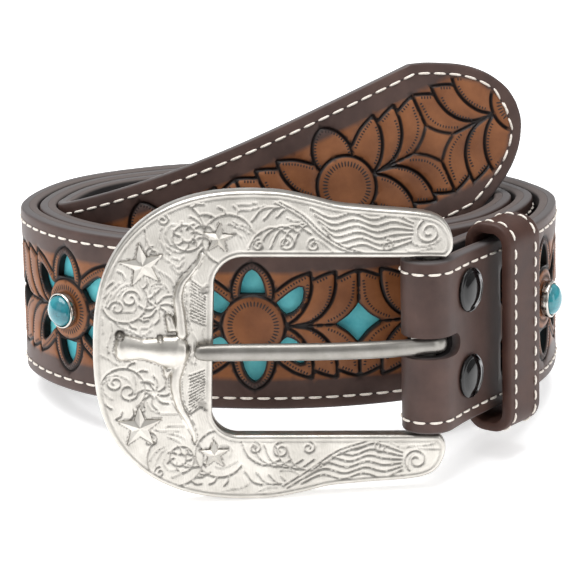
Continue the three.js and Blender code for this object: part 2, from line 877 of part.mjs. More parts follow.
// Keeper: a ring of leather round the tab alone, cut across the strap's width.
function roundedRectangle(left, right, bottom, top, radius) {
  const shape = new THREE.Shape();
  const corners = [
    [right - radius, top - radius, 0], [left + radius, top - radius, 1],
    [left + radius, bottom + radius, 2], [right - radius, bottom + radius, 3],
  ];
  const steps = 5;
  const points = [];
  for (const [x, y, quarter] of corners) {
    for (let i = 0; i <= steps; i += 1) {
      const angle = Math.PI / 2 * (quarter + i / steps);
      points.push(new THREE.Vector2(x + radius * Math.cos(angle), y + radius * Math.sin(angle)));
    }
  }
  shape.setFromPoints(points);
  return { shape, points };
}

function keeperLoop() {
  const place = coilAt(keeperStart + keeperWidth / 2);
  const back = -(plainThickness + fitGap);
  const half = strapWidth / 2 + keeperEdgeGap;
  const innerRadius = 2.6;
  const outer = roundedRectangle(
    back - keeperWall, keeperFrontGap + keeperWall, -half - keeperWall, half + keeperWall,
    innerRadius + keeperWall);
  const inner = roundedRectangle(back, keeperFrontGap, -half, half, innerRadius);
  outer.shape.holes.push(new THREE.Path(inner.points));
  const geometry = new THREE.ExtrudeGeometry(outer.shape, { depth: keeperWidth, bevelEnabled: false });
  geometry.translate(0, 0, -keeperWidth / 2);
  const basis = new THREE.Matrix4().makeBasis(
    place.outward, place.across, new THREE.Vector3().crossVectors(place.outward, place.across));
  basis.setPosition(place.point);
  geometry.applyMatrix4(basis);
  return fromManifold(outwardManifold(geometry));
}

// Turned pieces stand on the strap's face with their axis outwards.
function onStrap(mesh, along, offset) {
  const place = strapAt(along);
  const basis = new THREE.Matrix4().makeBasis(
    place.travel, place.outward.clone(), new THREE.Vector3().crossVectors(place.travel, place.outward));
  mesh.setRotationFromMatrix(basis);
  mesh.position.copy(place.point).addScaledVector(place.across, offset);
  return mesh;
}

function lathe(rows, sides) {
  const profile = rows.map(([radius, height]) => new THREE.Vector2(radius, height));
  return fromManifold(outwardManifold(new THREE.LatheGeometry(profile, sides)));
}

function snap() {
  const r = snapDiameter / 2;
  const post = snapPostDiameter / 2;
  const below = -(foldDepth + fitGap);
  return lathe([
    [0, below - 0.8], [r * 0.52, below - 0.8], [r * 0.52, below], [post, below], [post, fitGap],
    [r, fitGap], [r, fitGap + 0.5], [r * 0.72, fitGap + snapHeight * 0.8],
    [0, fitGap + snapHeight],
  ], 14);
}

function bezel() {
  const r = stoneDiameter / 2 + bezelWall + 0.15;
  const base = 0.5;
  return lathe([
    [0, fitGap], [r, fitGap], [r, fitGap + bezelHeight - 0.3], [r - 0.25, fitGap + bezelHeight],
    [r - bezelWall, fitGap + bezelHeight], [r - bezelWall, fitGap + base], [0, fitGap + base],
  ], 14);
}

function stone() {
  const r = stoneDiameter / 2;
  const base = fitGap + 0.5 + 0.15;
  return lathe([
    [0, base], [r, base], [r, base + 1.1], [r * 0.88, base + stoneHeight * 0.66],
    [r * 0.5, base + stoneHeight * 0.94], [0, base + stoneHeight],
  ], 12);
}

const coilGroup = new THREE.Group();
coilGroup.add(strapFace, underlay, strapBacking);
coilGroup.add(named('keeper_loop', keeperLoop(), keeperLeather));
coilGroup.add(onStrap(named('upper_snap', snap(), blackEnamel), snapPlace, snapOffsets[0]));
coilGroup.add(onStrap(named('lower_snap', snap(), blackEnamel), snapPlace, snapOffsets[1]));
const stoneFlowers = { right: 0, left: backFlowers };
for (const [name, i] of Object.entries(stoneFlowers)) {
  const along = flowers[i];
  coilGroup.add(onStrap(named(`${name}_bezel`, bezel(), castSilver), along, 0));
  coilGroup.add(onStrap(named(`${name}_stone`, stone(), turquoiseStone), along, 0));
}
coilGroup.add(buckleGroup);

// The coil tips back until the buckle's rim and the strap's rear edge stand level.
function lowest(object, tilt) {
  object.updateWorldMatrix(true, true);
  const vertex = new THREE.Vector3();
  let low = Infinity;
  object.traverse((mesh) => {
    if (!mesh.isMesh) return;
    const position = mesh.geometry.attributes.position;
    for (let i = 0; i < position.count; i += 1) {
      vertex.fromBufferAttribute(position, i).applyMatrix4(mesh.matrixWorld);
      low = Math.min(low, vertex.z * Math.cos(tilt) - vertex.y * Math.sin(tilt));
    }
  });
  return low;
}

let flat = 0;
let steep = radians(30);
for (let i = 0; i < 40; i += 1) {
  const tilt = (flat + steep) / 2;
  if (lowest(buckleGroup, tilt) < lowest(strapFace, tilt)) flat = tilt;
  else steep = tilt;
}
coilGroup.rotation.x = -flat;

const belt = new THREE.Group();
belt.add(coilGroup);
belt.updateWorldMatrix(true, true);
const box = new THREE.Box3().setFromObject(belt, true);
coilGroup.position.set(-(box.min.x + box.max.x) / 2, -(box.min.y + box.max.y) / 2, -box.min.z);

export default belt;
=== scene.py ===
# Tooled western belt in a loose coil, with a cast and engraved horseshoe buckle.
# The strap is laid out flat in millimetres (along, across, height), then bent round its route.
import math

import bmesh
import bpy
import numpy as np
from mathutils import Matrix, Quaternion, Vector
from mathutils.geometry import delaunay_2d_cdt


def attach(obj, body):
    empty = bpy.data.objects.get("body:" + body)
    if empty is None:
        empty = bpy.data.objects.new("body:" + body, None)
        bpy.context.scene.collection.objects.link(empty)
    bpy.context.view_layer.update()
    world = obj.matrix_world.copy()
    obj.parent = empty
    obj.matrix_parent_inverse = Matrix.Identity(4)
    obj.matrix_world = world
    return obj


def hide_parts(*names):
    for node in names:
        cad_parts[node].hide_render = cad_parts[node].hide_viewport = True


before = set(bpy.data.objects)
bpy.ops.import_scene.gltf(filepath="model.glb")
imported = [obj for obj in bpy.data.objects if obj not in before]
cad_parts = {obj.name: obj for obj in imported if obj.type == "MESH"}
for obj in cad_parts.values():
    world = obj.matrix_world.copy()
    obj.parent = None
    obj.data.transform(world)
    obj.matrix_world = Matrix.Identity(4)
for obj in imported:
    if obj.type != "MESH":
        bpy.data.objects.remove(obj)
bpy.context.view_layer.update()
print("frame loaded")

mm = 0.001
up = Vector((0, 0, 1))

# Camera and studio

studio = {
    "restTilt": 0.1302636,                       # the coil tips back by this, in radians
    "origin": (0.138485, -1.245815, 6.808931),   # where the coil's own origin stands
    "elevation": 15.0,                           # of the camera above the coil's plane
    "roll": -1.24,
    "distance": 700.0,
    "target": 19.0,
    "focal": 189.5,
    "floorSize": 6.0,
}
tiltTurn = Matrix.Rotation(-studio["restTilt"], 3, "X")
coilOrigin = Vector(studio["origin"])


def toWorld(point):
    return (tiltTurn @ Vector(point) + coilOrigin) * mm


def placeCamera():
    lift = math.radians(studio["elevation"])
    forward = Vector((0, math.cos(lift), -math.sin(lift)))
    place = Vector((0, 0, studio["target"])) - forward * studio["distance"]
    roll = math.radians(studio["roll"])
    side = Vector((1, 0, 0))
    top = Vector((0, math.sin(lift), math.cos(lift)))
    turnedSide = side * math.cos(roll) + top * math.sin(roll)
    turnedTop = top * math.cos(roll) - side * math.sin(roll)
    basis = Matrix((turnedSide, turnedTop, -forward)).transposed()
    data = bpy.data.cameras.new("camera")
    data.lens = studio["focal"]
    data.sensor_width = 36
    data.clip_start = 0.01
    camera = bpy.data.objects.new("camera", data)
    bpy.context.collection.objects.link(camera)
    camera.matrix_world = Matrix.Translation(toWorld(place)) @ (tiltTurn @ basis).to_4x4()
    bpy.context.scene.camera = camera


placeCamera()


def linear(red, green, blue):
    # a colour given as it looks, 0 to 255
    out = []
    for value in (red, green, blue):
        share = value / 255
        out.append(share / 12.92 if share <= 0.04045 else ((share + 0.055) / 1.055) ** 2.4)
    return (*out, 1.0)


# Materials

class Nodes:
    # one material and short ways to wire its nodes
    def __init__(self, name):
        self.material = bpy.data.materials.new(name)
        self.material.use_nodes = True
        self.tree = self.material.node_tree
        self.shader = self.tree.nodes["Principled BSDF"]
        self.coords = self.tree.nodes.new("ShaderNodeTexCoord")

    def add(self, kind, **inputs):
        # inputs are written with a _ for each space in their names
        node = self.tree.nodes.new(kind)
        for key, value in inputs.items():
            node.inputs[key.replace("_", " ")].default_value = value
        return node

    def link(self, source, output, target, socket):
        self.tree.links.new(source.outputs[output], target.inputs[socket])

    def noise(self, scale, detail, roughness):
        node = self.add("ShaderNodeTexNoise", Scale=scale, Detail=detail, Roughness=roughness)
        self.link(self.coords, "Object", node, "Vector")
        return node

    def ramp(self, source, output, stops):
        node = self.add("ShaderNodeValToRGB")
        elements = node.color_ramp.elements
        while len(elements) < len(stops):
            elements.new(0.5)
        for element, (place, colour) in zip(elements, stops):
            element.position = place
            element.color = colour
        self.link(source, output, node, "Fac")
        return node

    def mix(self, factor, first, second):
        # factor, first and second are (node, output) pairs or plain values
        node = self.tree.nodes.new("ShaderNodeMix")
        node.data_type = "RGBA"
        for value, index in ((factor, 0), (first, 6), (second, 7)):
            if isinstance(value, tuple) and hasattr(value[0], "outputs"):
                self.tree.links.new(value[0].outputs[value[1]], node.inputs[index])
            else:
                node.inputs[index].default_value = value
        return node, 2

    def bump(self, layers):
        # layers are (node, output, strength, distance in mm)
        last = None
        for source, output, strength, distance in layers:
            node = self.add("ShaderNodeBump", Strength=strength, Distance=distance * mm)
            self.link(source, output, node, "Height")
            if last:
                self.link(last, "Normal", node, "Normal")
            last = node
        self.link(last, "Normal", self.shader, "Normal")

    def rough(self, source, output, low, high):
        node = self.add("ShaderNodeMapRange", To_Min=low, To_Max=high)
        self.link(source, output, node, "Value")
        self.link(node, "Result", self.shader, "Roughness")

    def colour(self, pair):
        self.tree.links.new(pair[0].outputs[pair[1]], self.shader.inputs["Base Color"])

    def tones(self, source, low, high, stops=(0.3, 0.7)):
        # a ramp between two colours given as they look, as a (node, output) pair
        return self.ramp(source, "Fac", [(stops[0], linear(*low)), (stops[1], linear(*high))]), "Color"

    def shine(self, **inputs):
        for key, value in inputs.items():
            self.shader.inputs[key.replace("_", " ")].default_value = value


def paintChannels(nodes):
    paint = nodes.add("ShaderNodeAttribute")
    paint.attribute_name = "paint"
    split = nodes.add("ShaderNodeSeparateColor")
    nodes.link(paint, "Color", split, "Color")
    return split


def strapLeatherMaterial():
    nodes = Nodes("strapLeather")
    paint = paintChannels(nodes)          # red: tan stain, green: groove dye and the darker cut walls and rims, blue: edge coat, lightened to grey as painted sheen
    patches = nodes.noise(90, 5, 0.6)
    fibres = nodes.noise(1500, 3, 0.6)
    dark = nodes.tones(patches, (59, 43, 39), (83, 63, 57), (0.3, 0.72))
    tan = nodes.tones(patches, (104, 60, 32), (142, 90, 55))
    stained = nodes.mix((paint, "Red"), dark, tan)
    paintedDark = nodes.mix((paint, "Green"), stained, linear(20, 11, 9))
    # the edge colour: the edge coat lightened to grey, partly painted sheen
    nodes.colour(nodes.mix((paint, "Blue"), paintedDark, linear(84, 80, 80)))
    nodes.rough(patches, "Fac", 0.36, 0.56)
    nodes.shine(Specular_IOR_Level=0.28)
    nodes.bump([(fibres, "Fac", 0.25, 0.06), (patches, "Fac", 0.2, 0.15)])
    return nodes.material


def backingMaterial():
    nodes = Nodes("backingLeather")
    paint = paintChannels(nodes)          # blue: edge coat, its grey-brown partly painted sheen
    patches = nodes.noise(120, 5, 0.6)
    fibres = nodes.noise(1300, 4, 0.65)
    inner = nodes.tones(patches, (26, 23, 24), (46, 41, 41), (0.3, 0.72))
    nodes.colour(nodes.mix((paint, "Blue"), inner, linear(80, 71, 68)))
    nodes.rough(patches, "Fac", 0.5, 0.72)
    nodes.bump([(fibres, "Fac", 0.35, 0.08)])
    return nodes.material


def keeperMaterial():
    nodes = Nodes("keeperLeather")
    patches = nodes.noise(110, 5, 0.6)
    fibres = nodes.noise(1400, 3, 0.6)
    nodes.colour(nodes.tones(patches, (52, 32, 27), (74, 50, 42), (0.3, 0.72)))
    nodes.rough(patches, "Fac", 0.4, 0.6)
    nodes.bump([(fibres, "Fac", 0.3, 0.06), (patches, "Fac", 0.2, 0.15)])
    nodes.shine(Specular_IOR_Level=0.25)
    return nodes.material


def turquoiseSheetMaterial():
    nodes = Nodes("turquoiseSheet")
    patches = nodes.noise(160, 5, 0.6)
    weave = nodes.noise(1800, 2, 0.5)
    nodes.colour(nodes.tones(patches, (70, 182, 196), (120, 220, 226)))
    nodes.rough(weave, "Fac", 0.55, 0.75)
    nodes.bump([(weave, "Fac", 0.4, 0.08)])
    return nodes.material


def stoneMaterial():
    nodes = Nodes("turquoiseStone")
    patches = nodes.noise(220, 6, 0.65)
    veins = nodes.noise(420, 8, 0.75)
    body = nodes.tones(patches, (16, 98, 112), (48, 146, 156), (0.32, 0.68))
    mask = nodes.tones(veins, (0, 0, 0), (255, 255, 255), (0.6, 0.7))
    nodes.colour(nodes.mix(mask, body, linear(18, 66, 74)))
    nodes.shine(Roughness=0.12, Coat_Weight=0.5)
    return nodes.material


def silverMaterial(name, low, high, washAndShadeColour, bumpStrength, shade=1.0):
    # shade darkens the whole metal as painted shade; the wash colour is the dark oxide left in the
    # engraving, and also painted shade round the raised ornaments
    nodes = Nodes(name)
    paint = paintChannels(nodes)          # red: engraved field, green: dark oxide wash in the engraving, painted shade round the raised ornaments, and a darker nostril
    patches = nodes.noise(160, 6, 0.65)
    brushed = nodes.noise(900, 5, 0.7)
    dull, bright = ([value * shade for value in linear(*colour)[:3]] + [1.0]
                    for colour in ((176, 172, 165), (212, 208, 201)))
    tone = nodes.ramp(patches, "Fac", [(0.3, dull), (0.75, bright)])
    nodes.colour(nodes.mix((paint, "Green"), (tone, "Color"), linear(*washAndShadeColour)))
    nodes.shine(Metallic=1.0)
    nodes.rough(brushed, "Fac", low, high)
    curls = nodes.add("ShaderNodeTexWave", Scale=560.0, Distortion=14.0, Detail=1.0, Detail_Scale=0.36)
    nodes.link(nodes.coords, "Object", curls, "Vector")
    masked = nodes.add("ShaderNodeMath")
    masked.operation = "MULTIPLY"
    nodes.link(curls, "Fac", masked, 0)
    nodes.link(paint, "Red", masked, 1)
    nodes.bump([(brushed, "Fac", bumpStrength, 0.05), (masked, "Value", 0.25, 0.06)])
    return nodes.material


def enamelMaterial():
    nodes = Nodes("blackEnamel")
    patches = nodes.noise(300, 3, 0.5)
    nodes.colour(nodes.tones(patches, (6, 6, 7), (14, 13, 14)))
    nodes.rough(patches, "Fac", 0.08, 0.16)
    nodes.shine(Coat_Weight=0.2, Specular_IOR_Level=0.35)
    return nodes.material


def threadMaterial():
    nodes = Nodes("waxedThread")
    twist = nodes.noise(2600, 2, 0.5)
    nodes.colour(nodes.tones(twist, (206, 196, 184), (240, 233, 224)))
    nodes.rough(twist, "Fac", 0.5, 0.7)
    nodes.bump([(twist, "Fac", 0.4, 0.08)])
    return nodes.material


def inkAndShadeMaterial():
    # dark ink for the punched tool marks, also used as the painted shade of the stitch holes
    nodes = Nodes("toolInkAndHoleShade")
    patches = nodes.noise(700, 2, 0.5)
    nodes.colour(nodes.tones(patches, (22, 11, 8), (44, 24, 17)))
    nodes.rough(patches, "Fac", 0.5, 0.7)
    return nodes.material


def floorMaterial():
    nodes = Nodes("paleFloor")
    patches = nodes.noise(3, 2, 0.5)
    nodes.colour(nodes.tones(patches, (250, 250, 251), (253, 253, 253)))
    nodes.shine(Roughness=0.7, Emission_Color=(1, 1, 1, 1), Emission_Strength=0.48)
    return nodes.material


strapLeather = strapLeatherMaterial()
backingLeather = backingMaterial()
keeperLeather = keeperMaterial()
turquoiseSheet = turquoiseSheetMaterial()
turquoiseStone = stoneMaterial()
engravedSilver = silverMaterial("engravedSilver", 0.24, 0.42, (96, 92, 88), 0.25)
polishedSilver = silverMaterial("polishedSilver", 0.1, 0.24, (120, 116, 110), 0.08)
# the buckle's silver again, a little rougher, with its colour darkened to about half as painted shade
shadedProngSilver = silverMaterial("shadedProngSilver", 0.3, 0.42, (120, 116, 110), 0.15, 0.52)
blackEnamel = enamelMaterial()
waxedThread = threadMaterial()
toolInkAndHoleShade = inkAndShadeMaterial()
print("materials made")

# The strap's route

strap = {
    "width": 38.0, "face": 1.9, "sheet": 0.5, "backing": 1.1, "gap": 0.2,
    "edgeRound": 0.6, "stitchInset": 2.6, "stitchPitch": 3.8, "sheetWidth": 31.0,
}
plainThickness = strap["face"] + strap["gap"] + strap["backing"]
piercedThickness = plainThickness + strap["sheet"] + strap["gap"]

coil = {
    "halfWidth": 61.5, "centreY": 10.0, "turnGap": 2.0, "exitTurn": 892.8, "tabRows": 5, "step": 1.0,
    "rows": [  # direction, reach as a share of the half width, share of the gap between turns
        (-59.6, 1.094, 1), (-54.3, 1.044, 1), (-44.5, 1.0, 1), (-30, 0.992, 1), (-15, 0.998, 1),
        (0, 0.997, 0.5), (12, 0.95, 0.35), (24, 0.892, 0.35), (45, 0.801, 0.6), (67, 0.744, 0.7),
        (90, 0.721, 0.7), (113, 0.765, 0.7), (131, 0.858, 0.6), (150, 0.972, 0.45), (165, 1.02, 0.3),
        (180, 1.04, 0.25), (194, 0.99, 0.25), (210, 0.912, 0.4), (230, 0.811, 0.4), (250, 0.741, 0.4),
        (270, 0.725, 0.4), (290, 0.75, 0.5), (310, 0.813, 0.7), (335, 0.925, 0.6),
    ],
}
freeEnd = {
    "bendLength": 19.0, "bendTurn": 125.8, "bendClimb": 19.5, "bendLean": 14.4, "tightShare": 0.61,
    "easeLength": 76.0, "length": 110.4, "tipLength": 20.0, "step": 0.6,
    "tip": [(0, 1), (0.16, 0.94), (0.36, 0.84), (0.55, 0.73), (0.7, 0.61), (0.82, 0.48), (0.91, 0.34),
            (0.97, 0.2), (1, 0.04)],
}
fold = {
    "bar": 3.4, "clearance": 0.95, "returnGap": 3.4, "returnSettle": 4.5, "returnLength": 30.0,
    "returnStep": 1.5, "steps": 30,
}


def coilPoint(row, lap):
    direction, reach, slack = row
    perTurn = piercedThickness + coil["turnGap"] * slack
    radius = reach * coil["halfWidth"] - perTurn * (direction + 360 * lap) / 360
    angle = math.radians(direction)
    y = coil["centreY"] + math.sin(angle) * radius
    return Vector((math.cos(angle) * radius, y, strap["width"] / 2))


def curvePoint(points, share):
    # a smooth curve through the points, its speed set by the root of their spacing
    last = len(points) - 1
    place = last * share
    index = min(int(place), last - 1)
    rest = place - index
    b, c = points[index], points[index + 1]
    a = points[index - 1] if index > 0 else b * 2 - c
    d = points[index + 2] if index + 2 <= last else c * 2 - b
    before = max((b - a).length_squared ** 0.25, 1e-4)
    within = max((c - b).length_squared ** 0.25, 1e-4)
    after = max((d - c).length_squared ** 0.25, 1e-4)
    leave = ((b - a) / before - (c - a) / (before + within) + (c - b) / within) * within
    reach = ((c - b) / within - (d - b) / (within + after) + (d - c) / after) * within
    square, cube = rest * rest, rest * rest * rest
    return (b + leave * rest + (c * 3 - b * 3 - leave * 2 - reach) * square
            + (b * 2 - c * 2 + leave + reach) * cube)


def station(point, travel, across):
    return (point, travel.normalized(), across.normalized())


def coilStations():
    rows = coil["rows"]
    points = [coilPoint(row, 0) for row in rows[:coil["tabRows"]]]
    for lap in range(3):
        for row in rows[coil["tabRows"]:]:
            if row[0] + 360 * lap < coil["exitTurn"] + 30:
                points.append(coilPoint(row, lap))
    samples = 3000
    stations = []
    swept = rows[0][0]
    before = None
    for i in range(samples + 1):
        point = curvePoint(points, i / samples)
        if before:
            step = math.degrees(math.atan2(point.y - coil["centreY"], point.x)
                                - math.atan2(before.y - coil["centreY"], before.x))
            swept += step + 360 if step < -180 else step
        before = point
        leaving = swept >= coil["exitTurn"]
        if not stations or (stations[-1][0] - point).length >= coil["step"] or leaving:
            low, high = max(i / samples - 1e-4, 0), min(i / samples + 1e-4, 1)
            travel = curvePoint(points, high) - curvePoint(points, low)
            stations.append(station(point, travel, up))
        if leaving:
            break
    return stations


def bendFrame(first, last, along):
    tight = min(along / freeEnd["bendLength"], 1) * freeEnd["tightShare"]
    eased = min(max((along - freeEnd["bendLength"]) / freeEnd["easeLength"], 0), 1)
    return first.slerp(last, tight + (1 - freeEnd["tightShare"]) * math.sin(eased * math.pi / 2))


def freeStations(start):
    point, travel, across = start
    first = Matrix((travel, across, travel.cross(across))).transposed().to_quaternion()
    heading = math.atan2(travel.y, travel.x) + math.radians(freeEnd["bendTurn"])
    climb = math.radians(freeEnd["bendClimb"])
    level = math.cos(climb)
    away = Vector((math.cos(heading) * level, math.sin(heading) * level, math.sin(climb)))
    side = Vector((-math.sin(heading), math.cos(heading), 0))
    width = -side.cross(away)
    width.rotate(Quaternion(away, -math.radians(freeEnd["bendLean"])))
    last = Matrix((away, width, away.cross(width))).transposed().to_quaternion()
    if first.dot(last) < 0:
        last = -last
    stations = []
    point = point.copy()
    along = 0.0
    total = freeEnd["length"] + freeEnd["bendLength"]
    while along < total - 1e-6:
        step = min(freeEnd["step"], total - along)
        direction = bendFrame(first, last, along + step / 2)
        point = point + direction @ Vector((1, 0, 0)) * step
        along += step
        turned = bendFrame(first, last, along)
        stations.append(station(point, turned @ Vector((1, 0, 0)), turned @ Vector((0, 1, 0))))
    return stations


coilRoute = coilStations()
tabPoint, tabTravel, tabAcross = coilRoute[0]
tabOutward = tabTravel.cross(tabAcross).normalized()
foldInner = fold["bar"] / 2 + fold["clearance"]
foldOuter = foldInner + plainThickness
barCentre = tabPoint - tabOutward * foldOuter


def coilAt(along):
    travelled = 0.0
    for (a, aTravel, _), (b, bTravel, _) in zip(coilRoute, coilRoute[1:]):
        length = (b - a).length
        if travelled + length >= along:
            share = (along - travelled) / length
            return a.lerp(b, share), aTravel.lerp(bTravel, share).normalized()
        travelled += length


def foldStations():
    stations = []
    depth = 2 * plainThickness + fold["returnGap"]
    along = fold["returnLength"]
    while along >= fold["returnSettle"] - 1e-6:
        point, travel = coilAt(along)
        stations.append(station(point - travel.cross(up) * depth, -travel, up))
        along -= fold["returnStep"]
    shift = 2 * foldInner - fold["returnGap"]
    middle = barCentre - tabOutward * (foldOuter - shift / 2) + tabTravel * (fold["returnSettle"] / 2)
    stations.append(station(middle, -tabTravel, up))
    for i in range(fold["steps"]):
        outward = tabOutward.copy()
        outward.rotate(Quaternion(up, -math.pi * (1 - i / fold["steps"])))
        stations.append(station(barCentre + outward * foldOuter, up.cross(outward), up))
    return stations


foldRoute = foldStations()
route = foldRoute + coilRoute + freeStations(coilRoute[-1])
routePoints = np.array([s[0] for s in route])
routeTravel = np.array([s[1] for s in route])
routeAcross = np.array([s[2] for s in route])
routeLengths = np.concatenate([[0], np.cumsum(np.linalg.norm(np.diff(routePoints, axis=0), axis=1))])
tabMark = routeLengths[len(foldRoute)]
strapEnd = routeLengths[-1] - tabMark
worldTurn = np.array(tiltTurn)
print("route", round(strapEnd, 1), "mm from the fold")


def layOnRoute(coords):
    # along, across and height in millimetres become places in metres
    coords = np.asarray(coords, dtype=float)
    reach = coords[:, 0] + tabMark
    i = np.clip(np.searchsorted(routeLengths, reach) - 1, 0, len(route) - 2)
    share = ((reach - routeLengths[i]) / (routeLengths[i + 1] - routeLengths[i]))[:, None]
    point = routePoints[i] * (1 - share) + routePoints[i + 1] * share
    travel = routeTravel[i] * (1 - share) + routeTravel[i + 1] * share
    across = routeAcross[i] * (1 - share) + routeAcross[i + 1] * share
    across /= np.linalg.norm(across, axis=1)[:, None]
    outward = np.cross(travel, across)
    outward /= np.linalg.norm(outward, axis=1)[:, None]
    laid = point + across * coords[:, 1:2] + outward * coords[:, 2:3]
    return (laid @ worldTurn.T + np.array(coilOrigin)) * mm


def strapFrame(along, across=0.0):
    # a matrix whose z is the strap's outward side
    samples = layOnRoute([(along, across, 0), (along + 0.2, across, 0), (along, across + 0.2, 0)])
    place, ahead, beside = [Vector(s) for s in samples]
    travel = (ahead - place).normalized()
    outward = travel.cross(beside - place).normalized()
    side = outward.cross(travel)
    return Matrix.Translation(place) @ Matrix((travel, side, outward)).transposed().to_4x4()


# Flat lines and triangles

def interpolate(wanted, lengths, rows):
    return np.stack([np.interp(wanted, lengths, rows[:, k]) for k in (0, 1)], axis=1)


def lengthsAlong(path):
    steps = np.linalg.norm(np.diff(path, axis=0), axis=1)
    return np.concatenate([[0], np.cumsum(steps)])


def smoothLine(points, step=0.7, closed=False):
    knots = [Vector((x, y, 0)) for x, y in points]
    if closed:
        knots = knots + [knots[0]]
    rough = [curvePoint(knots, i / (12 * len(knots))) for i in range(12 * len(knots) + 1)]
    flat = np.array([(p.x, p.y) for p in rough])
    return evenLine(flat, step)


def evenLine(flat, step):
    flat = np.asarray(flat, dtype=float)
    lengths = lengthsAlong(flat)
    count = max(int(round(lengths[-1] / step)), 1)
    wanted = np.linspace(0, lengths[-1], count + 1)
    return interpolate(wanted, lengths, flat)


def arcLine(centre, radius, start, end, step=0.7):
    count = max(int(abs(math.radians(end - start)) * radius / step), 3)
    angles = np.radians(np.linspace(start, end, count + 1))
    return np.stack([centre[0] + radius * np.cos(angles), centre[1] + radius * np.sin(angles)], axis=1)


def besideLine(line, offset):
    tangent = np.gradient(line, axis=0)
    tangent /= np.maximum(np.linalg.norm(tangent, axis=1), 1e-9)[:, None]
    return line + np.stack([-tangent[:, 1], tangent[:, 0]], axis=1) * offset


def nearest(points, lines):
    # distance from each point to the closest of the lines
    best = np.full(len(points), 1e3)
    for line in lines:
        a, b = line[:-1], line[1:]
        low = np.minimum(a.min(0), b.min(0)) - 6
        high = np.maximum(a.max(0), b.max(0)) + 6
        near = np.where(((points >= low) & (points <= high)).all(1))[0]
        if not len(near):
            continue
        ab = b - a
        ap = points[near][:, None, :] - a[None]
        share = np.clip((ap * ab).sum(2) / np.maximum((ab * ab).sum(1), 1e-12), 0, 1)
        gap = np.linalg.norm(ap - share[..., None] * ab, axis=2).min(1)
        best[near] = np.minimum(best[near], gap)
    return best


def inside(points, outline):
    x, y = points[:, 0], points[:, 1]
    hit = np.zeros(len(points), bool)
    for (ax, ay), (bx, by) in zip(outline, np.roll(outline, -1, axis=0)):
        if ay == by:
            continue
        crosses = ((ay > y) != (by > y)) & (x < (bx - ax) * (y - ay) / (by - ay) + ax)
        hit ^= crosses
    return hit


def fillFlat(lines, scattered, keep):
    # triangles between the lines and the scattered points, where keep() allows them
    coords, index, edges = [], {}, set()

    def vertex(point):
        key = (round(float(point[0]), 3), round(float(point[1]), 3))
        if key not in index:
            index[key] = len(coords)
            coords.append(Vector(key))
        return index[key]

    for line in lines:
        chain = [vertex(p) for p in line]
        edges.update((min(a, b), max(a, b)) for a, b in zip(chain, chain[1:]) if a != b)
    for point in scattered:
        vertex(point)
    verts, _, faces, *_ = delaunay_2d_cdt(coords, list(edges), [], 0, 1e-4)
    verts = np.array([(v.x, v.y) for v in verts])
    faces = np.array(faces)
    centres = verts[faces].mean(axis=1)
    faces = faces[keep(centres)]
    used = np.unique(faces)
    renumber = np.full(len(verts), -1)
    renumber[used] = np.arange(len(used))
    verts, faces = verts[used], renumber[faces]
    a, b, c = verts[faces[:, 0]], verts[faces[:, 1]], verts[faces[:, 2]]
    turned = (b[:, 0] - a[:, 0]) * (c[:, 1] - a[:, 1]) - (b[:, 1] - a[:, 1]) * (c[:, 0] - a[:, 0]) < 0
    faces[turned] = faces[turned][:, ::-1]
    return verts, faces


# Meshes and sheets

def finishObject(name, coords, faces, material, body, nodes, paint=None, sharp=40):
    mesh = bpy.data.meshes.new(name)
    mesh.from_pydata([tuple(c) for c in coords], [], [tuple(int(i) for i in f) for f in faces])
    mesh.update()
    if paint is not None:
        layer = mesh.attributes.new("paint", "FLOAT_COLOR", "POINT")
        layer.data.foreach_set("color", np.column_stack([paint, np.ones(len(paint))]).ravel())
    for polygon in mesh.polygons:
        polygon.use_smooth = True
    mesh.set_sharp_from_angle(angle=math.radians(sharp))
    mesh.materials.append(material)
    piece = bpy.data.objects.new(name, mesh)
    bpy.context.collection.objects.link(piece)
    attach(piece, body)
    if nodes:
        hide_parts(*nodes)
    print(name, sum(len(p.vertices) - 2 for p in mesh.polygons))


def repeatShape(places, coords, faces):
    # one small shape at many places, each place a 4x4 matrix
    coords = np.asarray(coords, dtype=float)
    stack = np.concatenate([coords, np.ones((len(coords), 1))], axis=1)
    allCoords = [(stack @ np.array(place).T)[:, :3] for place in places]
    allFaces = [[i + n * len(coords) for i in face] for n in range(len(places)) for face in faces]
    return np.concatenate(allCoords), allFaces


def spun(profile, steps):
    # a turned shape from (radius, height) pairs, closed on its axis where a radius is 0
    bm = bmesh.new()
    verts = [bm.verts.new((r, 0, h)) for r, h in profile]
    edges = [bm.edges.new(pair) for pair in zip(verts, verts[1:])]
    bmesh.ops.spin(bm, geom=verts + edges, cent=(0, 0, 0), axis=(0, 0, 1), angle=math.tau,
                   steps=steps, use_merge=True, use_duplicate=False)
    bmesh.ops.remove_doubles(bm, verts=bm.verts, dist=1e-5)
    bmesh.ops.recalc_face_normals(bm, faces=bm.faces)
    coords = [tuple(v.co) for v in bm.verts]
    faces = [[v.index for v in f.verts] for f in bm.faces]
    bm.free()
    return coords, faces


def tubeFaces(rings, sides, closed=False):
    # the faces of rings of points one after another, ended by two caps or closed to a ring
    faces = []
    for i in range(rings if closed else rings - 1):
        here, ahead = i * sides, (i + 1) % rings * sides
        for j in range(sides):
            beside = (j + 1) % sides
            faces.append([ahead + j, ahead + beside, here + beside, here + j])
    if not closed:
        faces.append(list(range(sides)))
        faces.append([(rings - 1) * sides + j for j in reversed(range(sides))])
    return faces


def boundaryEdges(faces):
    counted = {}
    for face in faces:
        for a, b in zip(face, np.roll(face, -1)):
            key = (min(a, b), max(a, b))
            counted[key] = None if key in counted else (a, b)
    return [edge for edge in counted.values() if edge]


